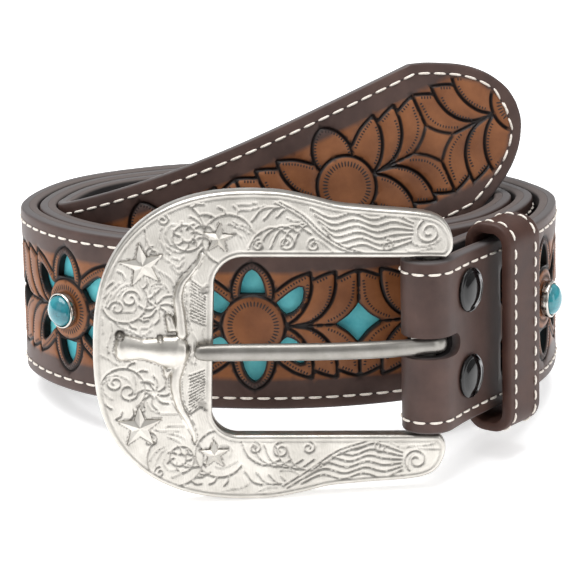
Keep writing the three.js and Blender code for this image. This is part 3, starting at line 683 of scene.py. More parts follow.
class Sheet:
    # a thick sheet gathered from pieces whose tops and bottoms have the same outlines
    def __init__(self, thickness):
        self.thickness = thickness
        self.top = {}
        self.topData = []
        self.topFaces = []
        self.bottom = {}
        self.bottomHeights = []
        self.bottomFaces = []

    def key(self, point):
        return (round(float(point[0]), 2), round(float(point[1]), 2))

    def addTop(self, verts, faces, height, paint):
        ids = []
        for point, h, p in zip(verts, height, paint):
            key = self.key(point)
            if key not in self.top:
                self.top[key] = len(self.topData)
                self.topData.append((*key, h, *p))
            ids.append(self.top[key])
        self.topFaces.extend([ids[i] for i in face] for face in faces)

    def addBottom(self, verts, faces, lift=None):
        ids = []
        for n, point in enumerate(verts):
            key = self.key(point)
            if key not in self.bottom:
                self.bottom[key] = len(self.bottomHeights)
                self.bottomHeights.append(-self.thickness + (0 if lift is None else lift[n]))
            ids.append(self.bottom[key])
        self.bottomFaces.extend([ids[i] for i in face[::-1]] for face in faces)

    def build(self, underPaint, paintedDark=None):
        # coordinates, faces and paint; the last argument picks the bottom corners that are painted dark
        data = np.array(self.topData)
        faces = [face for face in self.topFaces if len(set(face)) == 3]
        count = len(data)
        under = np.array(list(self.bottom))
        coords = np.concatenate([data[:, :3], np.column_stack([under, self.bottomHeights])])
        low = np.tile(np.array(underPaint, dtype=float), (len(under), 1))
        if paintedDark:
            low[paintedDark(under)] = (0, 1, 0)
        paint = np.concatenate([data[:, 3:6], low])
        faces += [[i + count for i in face] for face in self.bottomFaces if len(set(face)) == 3]
        keys = list(self.top)
        missing = 0
        for a, b in boundaryEdges(faces[:len(faces) - len(self.bottomFaces)]):
            if a < count and b < count and keys[a] in self.bottom and keys[b] in self.bottom:
                faces.append([b, a, self.bottom[keys[a]] + count, self.bottom[keys[b]] + count])
            else:
                missing += 1
        print("  sheet", len(faces), "faces,", missing, "unmatched edges")
        return coords, faces, paint


# The tooled leather: one quarter of the repeated pattern, in millimetres

tooling = {
    "half": 23.5, "edge": 19.0, "coatAndSheenEdge": 18.6, "tanEdge": 11.9, "tanFade": 0.5, "lineEdge": 14.7,
    "groove": 0.54, "deep": 0.36, "puff": 0.2, "ring": 7.1, "grid": 1.3, "lineStep": 1.0, "side": 0.31,
    "farSide": 0.6, "dotPitch": 0.7, "dashRing": 5.1, "dashes": 11, "hole": 2.5,
    "straightCut": [(0, 7.3), (2.85, 7.3), (2.5, 9.3), (2.0, 10.8), (1.0, 12.3), (0, 12.9)],
    "diagonalCut": [(5.1, 5.2), (6.2, 3.6), (7.3, 2.55), (8.7, 2.95), (10.0, 3.9), (10.9, 5.2),
                    (11.25, 6.8), (11.1, 8.7), (10.5, 8.9), (9.2, 8.3), (7.8, 7.4), (6.3, 6.2)],
    "diamondCut": [(18.2, 0), (21.15, 2.0), (23.5, 4.5)],
    "lines": [
        [(4.3, 5.65), (4.75, 7.6), (4.4, 9.9), (3.3, 12.2), (1.4, 14.0), (0, 14.5)],
        [(4.7, 7.5), (6.6, 9.1), (9.0, 10.7), (12.8, 12.1)],
        [(12.8, 12.1), (13.1, 9.8), (12.8, 7.2), (11.8, 4.6), (9.9, 2.0), (7.6, 0.35), (7.1, 0)],
        [(13.1, 10.2), (15.6, 11.3), (18.4, 12.1)],
        [(18.4, 12.1), (18.4, 9.2), (18.0, 7.0), (17.1, 4.7), (14.7, 1.9), (12.1, 0.6), (9.6, 0.15)],
        [(18.4, 10.2), (20.8, 11.3), (23.5, 12.2)],
        [(7.1, 0), (18.2, 0)],
        [(23.5, 4.5), (23.5, 12.2)],
    ],
    "dotted": [
        [(3.75, 6.6), (4.0, 7.9), (3.65, 9.8), (2.65, 11.8), (1.1, 13.25), (0, 13.65)],
        [(5.5, 6.9), (7.4, 8.4), (9.5, 9.8), (11.9, 10.9)],
        [(12.2, 9.6), (11.95, 7.3), (11.1, 5.1), (9.4, 2.9), (8.0, 1.7)],
        [(14.1, 9.7), (16.9, 10.9)],
        [(17.1, 9.0), (16.9, 6.5), (15.3, 3.4), (12.6, 1.25)],
        [(19.4, 9.7), (22.2, 10.9)],
        [(22.4, 9.9), (22.2, 8.2), (22.0, 6.0), (20.4, 3.3), (18, 1.6), (16, 0.8)],
    ],
    "edgeRows": [13.4, 14.6, 16.0, 17.4, 18.4, 18.75, 18.93],
}


def edgeDrop(v):
    # the rounded top edge of the strap
    radius = strap["edgeRound"]
    beyond = np.clip(np.abs(v) - (tooling["edge"] - radius), 0, radius) / radius
    return -radius * (1 - np.sqrt(np.maximum(1 - beyond ** 2, 0)))


half = tooling["half"]
diamondHalf = tooling["diamondCut"][-1][1]
crossRows = list(np.linspace(0, 12.6, 12)) + tooling["edgeRows"] + [tooling["edge"]]
tileRows = sorted(crossRows + [diamondHalf])     # of a tile's outer side, which cuts the diamond
grooveLines = [smoothLine(line, tooling["lineStep"]) for line in tooling["lines"]]
grooveLines.append(arcLine((0, 0), tooling["ring"], 0, 90, tooling["lineStep"]))
cutLines = {
    "straight": smoothLine(tooling["straightCut"][1:], 0.8),
    "diagonal": smoothLine(tooling["diagonalCut"], 0.9, closed=True),
    "diamond": smoothLine(tooling["diamondCut"], 0.8),
}
straightBase = evenLine([(0, 7.3), (2.85, 7.3)], 0.8)
cutAreas = {
    "straight": np.concatenate([straightBase, cutLines["straight"][1:]]),
    "diagonal": cutLines["diagonal"][:-1],
    "diamond": np.concatenate([cutLines["diamond"], [(half, 0)]]),
    "centre": np.concatenate([arcLine((0, 0), tooling["hole"], 0, 90, 0.6), [(0, 0)]]),
    "end": np.concatenate([arcLine((half, 0), tooling["hole"], 180, 90, 0.6), [(half, 0)]]),
}
tileKinds = {
    "A": ["straight", "diagonal", "diamond"],
    "B": ["straight", "diagonal"],
    "C": [],
    "D": ["centre", "end"],
    "F": ["centre"],
}


def cutOutlines(kind):
    # the pierced shapes' outlines; where a flower isn't pierced only its diamond is drawn
    if kind in "AB":
        return [cutLines["straight"], straightBase, cutLines["diagonal"], cutLines["diamond"]]
    return [cutLines["diamond"]]


def patternHeight(points, kind):
    gap = nearest(points, grooveLines)
    rim = nearest(points, cutOutlines(kind))
    v = np.abs(points[:, 1])
    tan = 1 - np.clip((v - tooling["tanEdge"]) / tooling["tanFade"], 0, 1)
    lined = 1 - np.clip((v - tooling["lineEdge"]) / 0.4, 0, 1)
    groove = np.clip(1 - gap / tooling["groove"], 0, 1)
    rimDark = np.clip(1 - rim / 0.34, 0, 1)
    closest = np.minimum(gap, rim)
    height = -tooling["puff"] * np.exp(-closest / 0.7) * lined
    height -= (tooling["deep"] * groove + 0.14 * rimDark) * lined
    height += edgeDrop(v)
    edge = np.clip((v - tooling["coatAndSheenEdge"]) / 0.3, 0, 1)
    far, near = tooling["farSide"], 0.28
    line, rimLine = (np.clip((far - distance) / (far - near), 0, 1) for distance in (gap, rim))
    beside = np.clip(closest / 1.2, 0, 1)
    dark = np.maximum(line, rimLine * 0.9) * lined + 0.12 * (1 - beside) * tan
    return height, np.column_stack([tan, np.clip(dark, 0, 1), edge])


def crossed(a, b):
    return a[:, 0] * b[:, 1] - a[:, 1] * b[:, 0]


def heightOn(points, verts, faces, height):
    # the mesh's own height at points that lie on it
    out = np.zeros(len(points))
    a, b, c = (verts[faces[:, k]] for k in range(3))
    area = crossed(b - a, c - a)
    for n, point in enumerate(points):
        second = crossed(point - a, c - a) / area
        third = crossed(b - a, point - a) / area
        first = 1 - second - third
        best = np.argmax(np.minimum(np.minimum(second, third), first))
        weights = np.array([first[best], second[best], third[best]])
        out[n] = height[faces[best]] @ weights
    return out


def tile(kind):
    edge = tooling["edge"]
    columns = np.linspace(0, half, int(round(half / tooling["grid"])) + 1)
    grid = np.array([(u, v) for u in columns for v in crossRows])
    holes = [np.array(cutAreas[name]) for name in tileKinds[kind]]
    drawn = grooveLines + cutOutlines(kind)
    drawn += [cutAreas[name][:-1] for name in ("centre", "end") if name in tileKinds[kind]]
    cuts = [line for line in cutOutlines(kind) if line is not straightBase]
    sides = []
    for offset in (tooling["side"], tooling["farSide"]):
        beside = [besideLine(line, s * offset) for line in grooveLines + cuts for s in (1, -1)]
        beside = np.concatenate(beside)
        sides.append(beside[nearest(beside, drawn) > offset * 0.85])
    sides = np.concatenate(sides)
    grid = grid[(nearest(grid, drawn) > 0.85) | (grid[:, 1] >= edge) | (grid[:, 1] > 15)]
    inner = (sides > 0.25).all(1) & (sides[:, 0] < half - 0.25) & (sides[:, 1] < edge)
    onSide = (grid <= 1e-6).any(1) | (grid[:, 0] >= half - 1e-6)
    grid = grid[~onSide | (grid[:, 1] >= edge)]
    frameLines = [
        np.array([(0, v) for v in crossRows]),
        np.array([(half, v) for v in crossRows]),
        np.array([(u, 0) for u in columns]),
        np.array([(u, edge) for u in columns]),
    ]
    scattered = np.concatenate([grid, sides[inner]])

    def keep(points):
        ok = (points > -1e-6).all(1) & (points[:, 0] < half + 1e-6) & (points[:, 1] < edge + 1e-6)
        for hole in holes:
            ok &= ~inside(points, hole)
        return ok

    verts, faces = fillFlat(frameLines + drawn, scattered, keep)
    height, paint = patternHeight(verts, kind)
    coarse = np.array([(u, v) for u in columns[::3] for v in (4, 8, 12, 16)])
    lowVerts, lowFaces = fillFlat(frameLines + drawn, coarse, keep)
    return verts, faces, height, paint, lowVerts, lowFaces


tiles = {kind: tile(kind) for kind in tileKinds}
print("tiles", {kind: len(t[1]) for kind, t in tiles.items()})

drawnPitch = 2 * half          # of the pattern before it is stretched
hiddenPitch = 42.9             # behind the coil
flowers = [43.3 + hiddenPitch * i for i in range(5)] + [257.8 + drawnPitch * i for i in range(10)]
freePitch = 48.6
lastShift = 2.0                # the last flower stands this much nearer
freeFlowers = [strapEnd - 44 - freePitch * i for i in range(3, -1, -1)]
freeFlowers[-1] -= lastShift
freeFlowers = [(flowers[-1] + freeFlowers[0]) / 2] + freeFlowers
tipPitch = freePitch - lastShift
allFlowers = flowers + freeFlowers
leftKinds = ["B"] + ["A"] * 14 + ["C", "F", "D", "D", "C"]
rightKinds = ["A"] * 14 + ["B"] + ["C", "D", "D", "F", "C"]
tabEdge = flowers[0] - hiddenPitch / 2
tipStart = allFlowers[-1] + tipPitch / 2


def stretch(u, halfPitch):
    # the pattern fitted to the local pitch, its holes left round
    keepRound = 3.0
    middle = (halfPitch - 2 * keepRound) / (half - 2 * keepRound)
    u = np.asarray(u, dtype=float)
    stretched = np.where(u > half - keepRound, halfPitch - (half - u), keepRound + (u - keepRound) * middle)
    return np.where(u < keepRound, u, stretched)


def quarters():
    # every quarter of the pattern: flower, its centre, half pitch, direction along and side
    for i, centre in enumerate(allFlowers):
        before = centre - allFlowers[i - 1] if i else hiddenPitch
        after = allFlowers[i + 1] - centre if i + 1 < len(allFlowers) else tipPitch
        for direction, pitch in ((-1, before), (1, after)):
            for side in (1, -1):
                yield i, centre, pitch / 2, direction, side


def fillStrapFace():
    sheet = Sheet(strap["face"])
    for i, centre, halfPitch, direction, side in quarters():
        kind = leftKinds[i] if direction < 0 else rightKinds[i]
        verts, faces, height, paint, lowVerts, lowFaces = tiles[kind]
        order = slice(None, None, direction * side)
        placed = []
        for points in (verts, lowVerts):
            along = centre + direction * stretch(points[:, 0], halfPitch)
            placed.append(np.column_stack([along, points[:, 1] * side]))
        sheet.addTop(placed[0], faces[:, order], height, paint)
        sheet.addBottom(placed[1], lowFaces[:, order])
    addTab(sheet)
    addTip(sheet)
    return sheet


def capsuleOutline(start, end, halfWidth, step=0.6):
    # one half (v from 0 up) of a long hole with round ends
    left = arcLine((start + halfWidth, 0), halfWidth, 180, 90, step)
    right = arcLine((end - halfWidth, 0), halfWidth, 90, 0, step)
    straight = evenLine([left[-1], right[0]], 1.2)
    return np.concatenate([left, straight[1:-1], right])


slotOutline = capsuleOutline(-22.2, 3.75, 2.35)


def edgeCoatAndSheen(place, start):
    # edge coat with painted sheen from start onwards, plain before it
    blank = np.zeros(len(place))
    return np.column_stack([blank, blank, np.clip((place - start) / 0.3, 0, 1)])


def addBothSides(sheet, verts, faces, height, paint, lowVerts, lowFaces):
    for side in (1, -1):
        sheet.addTop(verts * [1, side], faces[:, ::side], height, paint)
        sheet.addBottom(lowVerts * [1, side], lowFaces[:, ::side])


def addTab(sheet):
    edge = tooling["edge"]
    columns = np.linspace(-tabMark, tabEdge, int(round((tabMark + tabEdge) / 1.0)) + 1)
    lines = [
        np.array([(columns[0], v) for v in crossRows]),
        np.array([(tabEdge, v) for v in tileRows]),
        np.array([(u, 0) for u in columns]),
        np.array([(u, edge) for u in columns]),
        slotOutline,
    ]
    hole = np.concatenate([slotOutline, slotOutline[::-1] * [1, -1]])
    scattered = np.array([(u, v) for u in columns[1:-1] for v in crossRows[2:-1:2] + crossRows[-4:-1]])
    scattered = scattered[nearest(scattered, [slotOutline]) > 0.5]

    def keep(points):
        return (points[:, 0] > columns[0]) & (points[:, 0] < tabEdge) & ~inside(points, hole)

    verts, faces = fillFlat(lines, scattered, keep)
    v = np.abs(verts[:, 1])
    paint = edgeCoatAndSheen(v, tooling["coatAndSheenEdge"])
    addBothSides(sheet, verts, faces, edgeDrop(v), paint, *fillFlat(lines, scattered[::3], keep))


tipCorner = strapEnd - freeEnd["tipLength"]
tipKnots = [(tipCorner + freeEnd["tipLength"] * a, tooling["edge"] * w) for a, w in freeEnd["tip"]]
tipSide = smoothLine(tipKnots, 0.9)
tipSide[0] = (tipCorner, tooling["edge"])
tipSide[-1] = (strapEnd, 0.0)
tipOutline = np.concatenate([[(tipStart, 0), (tipStart, tooling["edge"])], tipSide])
tipInsets = [besideLine(tipSide, -depth) for depth in (0.07, 0.25, 0.6)]


def tipInset(points):
    # how far a point lies inside the tip's edge
    edge = np.concatenate([[(tipStart - 30, tooling["edge"])], tipSide])
    folded = np.column_stack([points[:, 0], np.abs(points[:, 1])])
    return nearestWide(folded, edge)


def nearestWide(points, line):
    a, b = line[:-1], line[1:]
    ab = b - a
    ap = points[:, None, :] - a[None]
    share = np.clip((ap * ab).sum(2) / np.maximum((ab * ab).sum(1), 1e-12), 0, 1)
    return np.linalg.norm(ap - share[..., None] * ab, axis=2).min(1)


def onTip(points):
    # the pattern drawn backwards on the tip, where half a repeat follows the last flower's
    return np.column_stack([tipStart + (half - points[:, 0]) * tipPitch / drawnPitch, points[:, 1]])


def addTip(sheet):
    edge = tooling["edge"]
    lines = [
        np.array([(tipStart, v) for v in tileRows]),
        evenLine([(tipStart, 0), (strapEnd, 0)], 0.8),
        evenLine([(tipStart, edge), (tipCorner, edge)], 0.8),
        tipSide,
    ]
    mirroredLines = [onTip(evenLine(line, 0.6)) for line in grooveLines + cutOutlines("C")]
    offsets = (tooling["side"], tooling["farSide"])
    sides = [besideLine(line, s * d) for line in mirroredLines for s in (1, -1) for d in offsets]
    sides = np.concatenate(sides)
    sides = sides[nearest(sides, mirroredLines) > 0.27]
    columns = np.arange(tipStart + 0.6, strapEnd, 0.9)
    grid = np.array([(u, v) for u in columns for v in np.arange(0.5, edge, 0.9)])
    grid = grid[nearest(grid, mirroredLines) > 0.8]
    scattered = np.concatenate([grid, sides] + mirroredLines + tipInsets)
    scattered = scattered[inside(scattered, tipOutline) & (scattered > (tipStart + 0.2, 0.2)).all(1)]
    scattered = scattered[nearestWide(scattered, tipSide) > 0.05]

    def keep(points):
        return inside(points, tipOutline)

    verts, faces = fillFlat(lines, scattered, keep)
    local = np.column_stack([half - (verts[:, 0] - tipStart) * drawnPitch / tipPitch, verts[:, 1]])
    height, paint = patternHeight(local, "C")
    inset = tipInset(verts)
    shown = np.clip((inset - strap["stitchInset"] - 0.4) / 0.4, 0, 1)
    height = edgeDrop(edge - inset) + (height - edgeDrop(verts[:, 1])) * shown
    paint = edgeCoatAndSheen(-inset, -0.4) + paint * (1, 1, 0) * shown[:, None]
    coarse = grid[::5]
    low = fillFlat(lines, coarse[inside(coarse, tipOutline)], keep)
    addBothSides(sheet, verts, faces, height, paint, *low)


def inPattern(points):
    # where the underside's corners belong to pierced cuts, whose walls are painted dark
    along, across = points[:, 0], np.abs(points[:, 1])
    return (across < 13.5) & (along > tabEdge) & (along < tipStart + 1)


def makeStrapFace():
    coords, faces, paint = fillStrapFace().build((0, 0, 1), inPattern)
    finishObject("strapFace", layOnRoute(coords), faces, strapLeather, "strap",
                 ["strap_face"], paint)


makeStrapFace()


def ribbon(name, start, end, halfWidth, top, bottom, material, nodes):
    # a thin closed strip laid along the strap
    stations = np.linspace(start, end, int((end - start) / 1.2) + 1)
    inset = 0.12
    section = [(-halfWidth, top - inset), (-halfWidth + inset, top), (-halfWidth / 3, top),
               (halfWidth / 3, top), (halfWidth - inset, top), (halfWidth, top - inset),
               (halfWidth, bottom), (-halfWidth, bottom)]
    coords = np.array([(u, v, h) for u in stations for v, h in section])
    faces = tubeFaces(len(stations), len(section))
    finishObject(name, layOnRoute(coords), faces, material, "strap", nodes)


sheetTop = -(strap["face"] + strap["gap"])
sheetStart = flowers[0] - 12.6           # just before the first flower's petals
sheetEnd = flowers[-1] + 30.8            # just past the last pierced diamond
ribbon("turquoiseSheet", sheetStart, sheetEnd, strap["sheetWidth"] / 2, sheetTop, sheetTop - strap["sheet"],
       turquoiseSheet, ["turquoise_underlay"])


def makeStrapBacking():
    edge = tooling["edge"]
    rows = [0, 4, 8, 12, 15.6, 15.9, 17.2, 18.4, 18.75, 18.93]
    columns = np.linspace(-tabMark, tipCorner, int((tabMark + tipCorner) / 1.25) + 1)
    adjusting = [freeFlowers[1] + i * freePitch / 2 for i in range(5)]
    holeLines = [slotOutline] + [arcLine((u, 0), tooling["hole"], 0, 180, 0.6) for u in adjusting]
    holes = [np.concatenate([line, line[::-1] * [1, -1]]) for line in holeLines]
    lines = [
        np.array([(columns[0], v) for v in rows + [edge]]),
        np.array([(u, 0) for u in (*columns, *np.linspace(tipCorner, strapEnd, 16)[1:])]),
        np.array([(u, edge) for u in columns]),
        tipSide,
    ] + holeLines
    grid = np.array([(u, v) for u in columns[1:] for v in rows[1:]])
    grid = grid[nearest(grid, holeLines) > 0.5]
    tipColumns = np.arange(tipCorner + 1, strapEnd, 1.3)
    tipGrid = np.array([(u, v) for u in tipColumns for v in np.arange(1.2, edge, 1.3)])
    inner = np.concatenate([tipGrid] + tipInsets)
    whole = np.concatenate([[(columns[0], 0), (columns[0], edge), (tipCorner, edge)], tipSide])
    inner = inner[inside(inner, whole) & (inner[:, 0] > tipCorner)]

    def keep(points):
        ok = inside(points, whole)
        for hole in holes:
            ok &= ~inside(points, hole)
        return ok

    verts, faces = fillFlat(lines, np.concatenate([grid, inner]), keep)
    inset = edge - verts[:, 1]
    inset = np.where(verts[:, 0] > tipCorner - 6, np.minimum(tipInset(verts), inset), inset)
    seat = strap["sheet"] + strap["gap"]
    under = np.clip((verts[:, 0] - sheetStart + 1.5) / 1.5, 0, 1)
    under *= np.clip((sheetEnd + 1.5 - verts[:, 0]) / 1.5, 0, 1)
    middle = np.clip((inset - 3.1) / 0.3, 0, 1)
    top = -(strap["face"] + 0.05) - middle * (under * (seat + 0.15) + (1 - under) * 0.1)
    bottom = -plainThickness - under * seat - edgeDrop(edge - inset)
    paintTop = edgeCoatAndSheen(-inset, -1.2)
    paintLow = edgeCoatAndSheen(-inset, -0.5)
    coords, paint, allFaces = [], [], []
    index = {}
    for side in (1, -1):
        for height, colour, turn in ((top, paintTop, side > 0), (bottom, paintLow, side < 0)):
            ids = []
            level = "top" if height is top else "low"
            for point, h, c in zip(verts, height, colour):
                key = (level, round(point[0], 3), round(point[1] * side, 3))
                if key not in index:
                    index[key] = len(coords)
                    coords.append((point[0], point[1] * side, h))
                    paint.append(c)
                ids.append(index[key])
            for face in faces:
                ring = [ids[i] for i in face]
                allFaces.append(ring if turn else ring[::-1])
    keys = list(index)
    for a, b in boundaryEdges(allFaces):
        if keys[a][0] == "top":
            lowA = index[("low", *keys[a][1:])]
            lowB = index[("low", *keys[b][1:])]
            allFaces.append([b, a, lowA, lowB])
    finishObject("strapBacking", layOnRoute(coords), allFaces, backingLeather, "strap",
                 ["strap_backing"], np.array(paint))


makeStrapBacking()

# Stitches and punched marks along the strap

def edgePath(inset):
    # the line that runs beside the strap's edge, out to the middle of the tip
    along = np.arange(-tabMark + 1.5, tipCorner - 0.4, 0.8)
    straight = np.column_stack([along, np.full(len(along), tooling["edge"] - inset)])
    curve = besideLine(tipSide, -inset)
    clear = nearestWide(curve, tipSide) > inset * 0.97
    curve = curve[clear & (curve > (straight[-1, 0], 0)).all(1)]
    end = strapEnd - inset * 1.25
    return np.concatenate([straight, curve[curve[:, 0] < end - 0.3], [(end, 0.0)]])


def stitchSolid(length, radius, steps=5, sides=8):
    # a short thread, its ends turned down into the leather
    rows = []
    for i in range(steps + 1):
        share = -1 + 2 * i / steps
        lift = radius * (0.55 - 1.1 * abs(share) ** 3)
        thin = radius * math.sqrt(1 - abs(share) ** 4 * 0.75)
        rows.append([(share * length / 2, math.cos(a) * thin, lift + math.sin(a) * 0.8 * thin)
                     for a in np.linspace(0, math.tau, sides, endpoint=False)])
    coords = [p for row in rows for p in row]
    return np.array(coords), tubeFaces(steps + 1, sides)


def dome(halfLength, halfWidth, rise, sink, sides=6):
    # a low mound for one punched mark, or for one stitch hole's painted shade
    rim = [(math.cos(a) * halfLength, math.sin(a) * halfWidth, -sink)
           for a in np.linspace(0, math.tau, sides, endpoint=False)]
    coords = np.array(rim + [(0, 0, rise)])
    faces = [[j, (j + 1) % sides, sides] for j in range(sides)] + [list(range(sides))[::-1]]
    return coords, faces


def alongPath(path, pitch, first=0.0):
    # places and directions at an even pitch
    lengths = lengthsAlong(path)
    count = int((lengths[-1] - first) / pitch)
    wanted = first + pitch * np.arange(count + 1)
    ahead = np.minimum(wanted + 0.3, lengths[-1])
    back = np.maximum(ahead - 0.6, 0)
    turn = interpolate(ahead, lengths, path) - interpolate(back, lengths, path)
    return interpolate(wanted, lengths, path), np.arctan2(turn[:, 1], turn[:, 0])


def flatPlaces(at, angles, heights):
    # coordinates of the flat shape are turned and moved before it is laid on the route
    return [Matrix.Translation((u, v, h)) @ Matrix.Rotation(a, 4, "Z")
            for (u, v), a, h in zip(at, angles, heights)]


def layShapes(name, shape, places, material, sharp=60):
    coords, faces = repeatShape(places, *shape)
    finishObject(name, layOnRoute(coords), faces, material, "strap", [], sharp=sharp)


def placesBesideEdges(first):
    # even places beside both edges of the strap
    at, angles = alongPath(edgePath(strap["stitchInset"]), strap["stitchPitch"], first)
    return np.concatenate([at, at * [1, -1]]), np.concatenate([angles, -angles])


def makeStitches():
    at, angles = placesBesideEdges(1.2)
    layShapes("stitching", stitchSolid(3.0, 0.28), flatPlaces(at, angles, np.full(len(at), 0.02)),
              waxedThread, 80)
    # painted shade: small dark mounds where the stitch holes sit between the stitches
    at, angles = placesBesideEdges(1.2 + strap["stitchPitch"] / 2)
    layShapes("stitchHoleShade", dome(0.6, 0.42, 0.1, 0.08, 8), flatPlaces(at, angles, np.zeros(len(at))),
              toolInkAndHoleShade)


makeStitches()

dotted = [alongPath(smoothLine(line, 0.3), tooling["dotPitch"], 0.35) for line in tooling["dotted"]]
dotSpots = np.concatenate([spots for spots, _ in dotted])
dotTurns = np.concatenate([turns for _, turns in dotted])
dashTurns = np.radians(np.arange(0.5, tooling["dashes"]) * 90 / tooling["dashes"])
dashSpots = np.column_stack([np.cos(dashTurns), np.sin(dashTurns)]) * tooling["dashRing"]


def placedMarks(spots, turns, stretched):
    # one kind of mark on every quarter of the pattern and on the tip
    levels = {kind: heightOn(spots, *tiles[kind][:3]) for kind in "AC"}
    found = []
    for i, centre, halfPitch, direction, side in quarters():
        along = stretch(spots[:, 0], halfPitch) if stretched else spots[:, 0]
        at = np.column_stack([centre + direction * along, spots[:, 1] * side])
        turn = np.arctan2(np.sin(turns) * side, np.cos(turns) * direction)
        found += flatPlaces(at, turn, levels["A" if i < len(flowers) else "C"])
    at = onTip(spots)
    shown = inside(at, tipOutline) & (tipInset(at) > strap["stitchInset"] + 0.9)
    for side in (1, -1):
        turn = np.arctan2(np.sin(turns) * side, -np.cos(turns))
        found += flatPlaces(at[shown] * [1, side], turn[shown], levels["C"][shown])
    return found


def makeToolMarks():
    coords, faces = repeatShape(placedMarks(dotSpots, dotTurns, True), *dome(0.25, 0.43, 0.1, 0.02))
    more, moreFaces = repeatShape(placedMarks(dashSpots, dashTurns, False), *dome(0.82, 0.24, 0.12, 0.02))
    faces += [[i + len(coords) for i in face] for face in moreFaces]
    coords = np.concatenate([coords, more])
    finishObject("toolMarks", layOnRoute(coords), faces, toolInkAndHoleShade, "strap", [], sharp=80)


makeToolMarks()

# Snaps, bezels and stones

fitGap = 0.3
snapSpots = {"upper": (7.8, 0.9 + 19.3 / 2), "lower": (7.8, 0.9 - 19.3 / 2)}
snapProfile = [(0, -10.9), (2.52, -10.9), (2.52, -10.1), (1.5, -10.1), (1.5, 0.3), (4.5, 0.3), (4.75, 0.36),
               (4.85, 0.55), (4.8, 0.78), (4.55, 0.98), (4.2, 1.08), (3.85, 1.16), (3.3, 1.42), (2.5, 1.68),
               (1.4, 1.85), (0, 1.9)]
bezelProfile = [(0, 0.3), (4.0, 0.3), (4.15, 0.42), (4.15, 1.5), (4.08, 1.82), (3.92, 1.98), (3.76, 1.96),
                (3.65, 1.8), (3.65, 0.8), (0, 0.8)]
stoneProfile = [(0, 0.95), (3.4, 0.95), (3.5, 1.05), (3.5, 1.9), (3.4, 2.3), (3.05, 2.85), (2.5, 3.3),
                (1.75, 3.64), (0.9, 3.87), (0, 3.95)]


def turnedPiece(name, profile, spot, material, node):
    coords, faces = spun(profile, 48)
    base = np.array(strapFrame(*spot))
    laid = np.array(coords) * mm @ base[:3, :3].T + base[:3, 3]
    paint = np.zeros((len(coords), 3)) if material is polishedSilver else None
    finishObject(name, laid, faces, material, "strap", [node], paint, sharp=35)


for which, spot in snapSpots.items():
    turnedPiece(which + "Snap", snapProfile, spot, blackEnamel, which + "_snap")
for which, number in (("right", 0), ("left", 5)):
    spot = (flowers[number], 0.0)
    turnedPiece(which + "Bezel", bezelProfile, spot, polishedSilver, which + "_bezel")
    turnedPiece(which + "Stone", stoneProfile, spot, turquoiseStone, which + "_stone")

# Keeper loop

keeper = {"start": 15.4, "width": 12.5, "wall": 2.2, "front": 3.8, "edgeGap": 2.3, "radius": 2.6,
          "round": 0.55, "stitchIn": 2.2, "stitchPitch": 3.3}
keeperPoint, keeperTravel = coilAt(keeper["start"] + keeper["width"] / 2)
keeperOutward = keeperTravel.cross(up).normalized()


def keeperRing(offset, step=0.7):
    # a rounded rectangle round the tab: (outward, across) and its outward-facing normal
    back = -(plainThickness + fitGap) - offset
    front = keeper["front"] + offset
    high = strap["width"] / 2 + keeper["edgeGap"] + offset
    radius = keeper["radius"] + offset
    points, normals = [], []
    corners = [(front - radius, high - radius, 0), (back + radius, high - radius, 90),
               (back + radius, -high + radius, 180), (front - radius, -high + radius, 270)]
    spans = [8, 40]      # steps along the short and the long sides
    for n, (x, y, start) in enumerate(corners):
        for angle in np.radians(np.linspace(start, start + 90, 9)):
            points.append((x + radius * math.cos(angle), y + radius * math.sin(angle)))
            normals.append((math.cos(angle), math.sin(angle)))
        nx, ny, nextStart = corners[(n + 1) % 4]
        angle = math.radians(start + 90)
        begin = np.array(points[-1])
        finish = np.array((nx + radius * math.cos(angle), ny + radius * math.sin(angle)))
        count = spans[n % 2]
        for share in np.linspace(0, 1, count + 1)[1:-1]:
            points.append(tuple(begin + (finish - begin) * share))
            normals.append((math.cos(angle), math.sin(angle)))
    return np.array(points), np.array(normals)


def fromKeeper(outward, across, along):
    return toWorld(keeperPoint + keeperOutward * outward + up * across + keeperTravel * along)


def makeKeeper():
    points, normals = keeperRing(0)
    wall, side, r = keeper["wall"], keeper["width"] / 2, keeper["round"]
    section = [(0, -side + 0.2), (0.2, -side), (wall - r, -side), (wall - r * 0.3, -side + r * 0.3),
               (wall, -side + r), (wall, -side + 3), (wall, 0), (wall, side - 3), (wall, side - r),
               (wall - r * 0.3, side - r * 0.3), (wall - r, side), (0.2, side), (0, side - 0.2), (0, 0)]
    coords, paint = [], []
    for (x, y), (nx, ny) in zip(points, normals):
        for depth, along in section:
            coords.append(fromKeeper(x + nx * depth, y + ny * depth, along))
            paint.append((0, 0, 1 if abs(along) > side - 0.15 else 0))
    faces = tubeFaces(len(points), len(section), closed=True)
    finishObject("keeperLoop", coords, faces, keeperLeather, "strap",
                 ["keeper_loop"], np.array(paint, dtype=float), sharp=50)


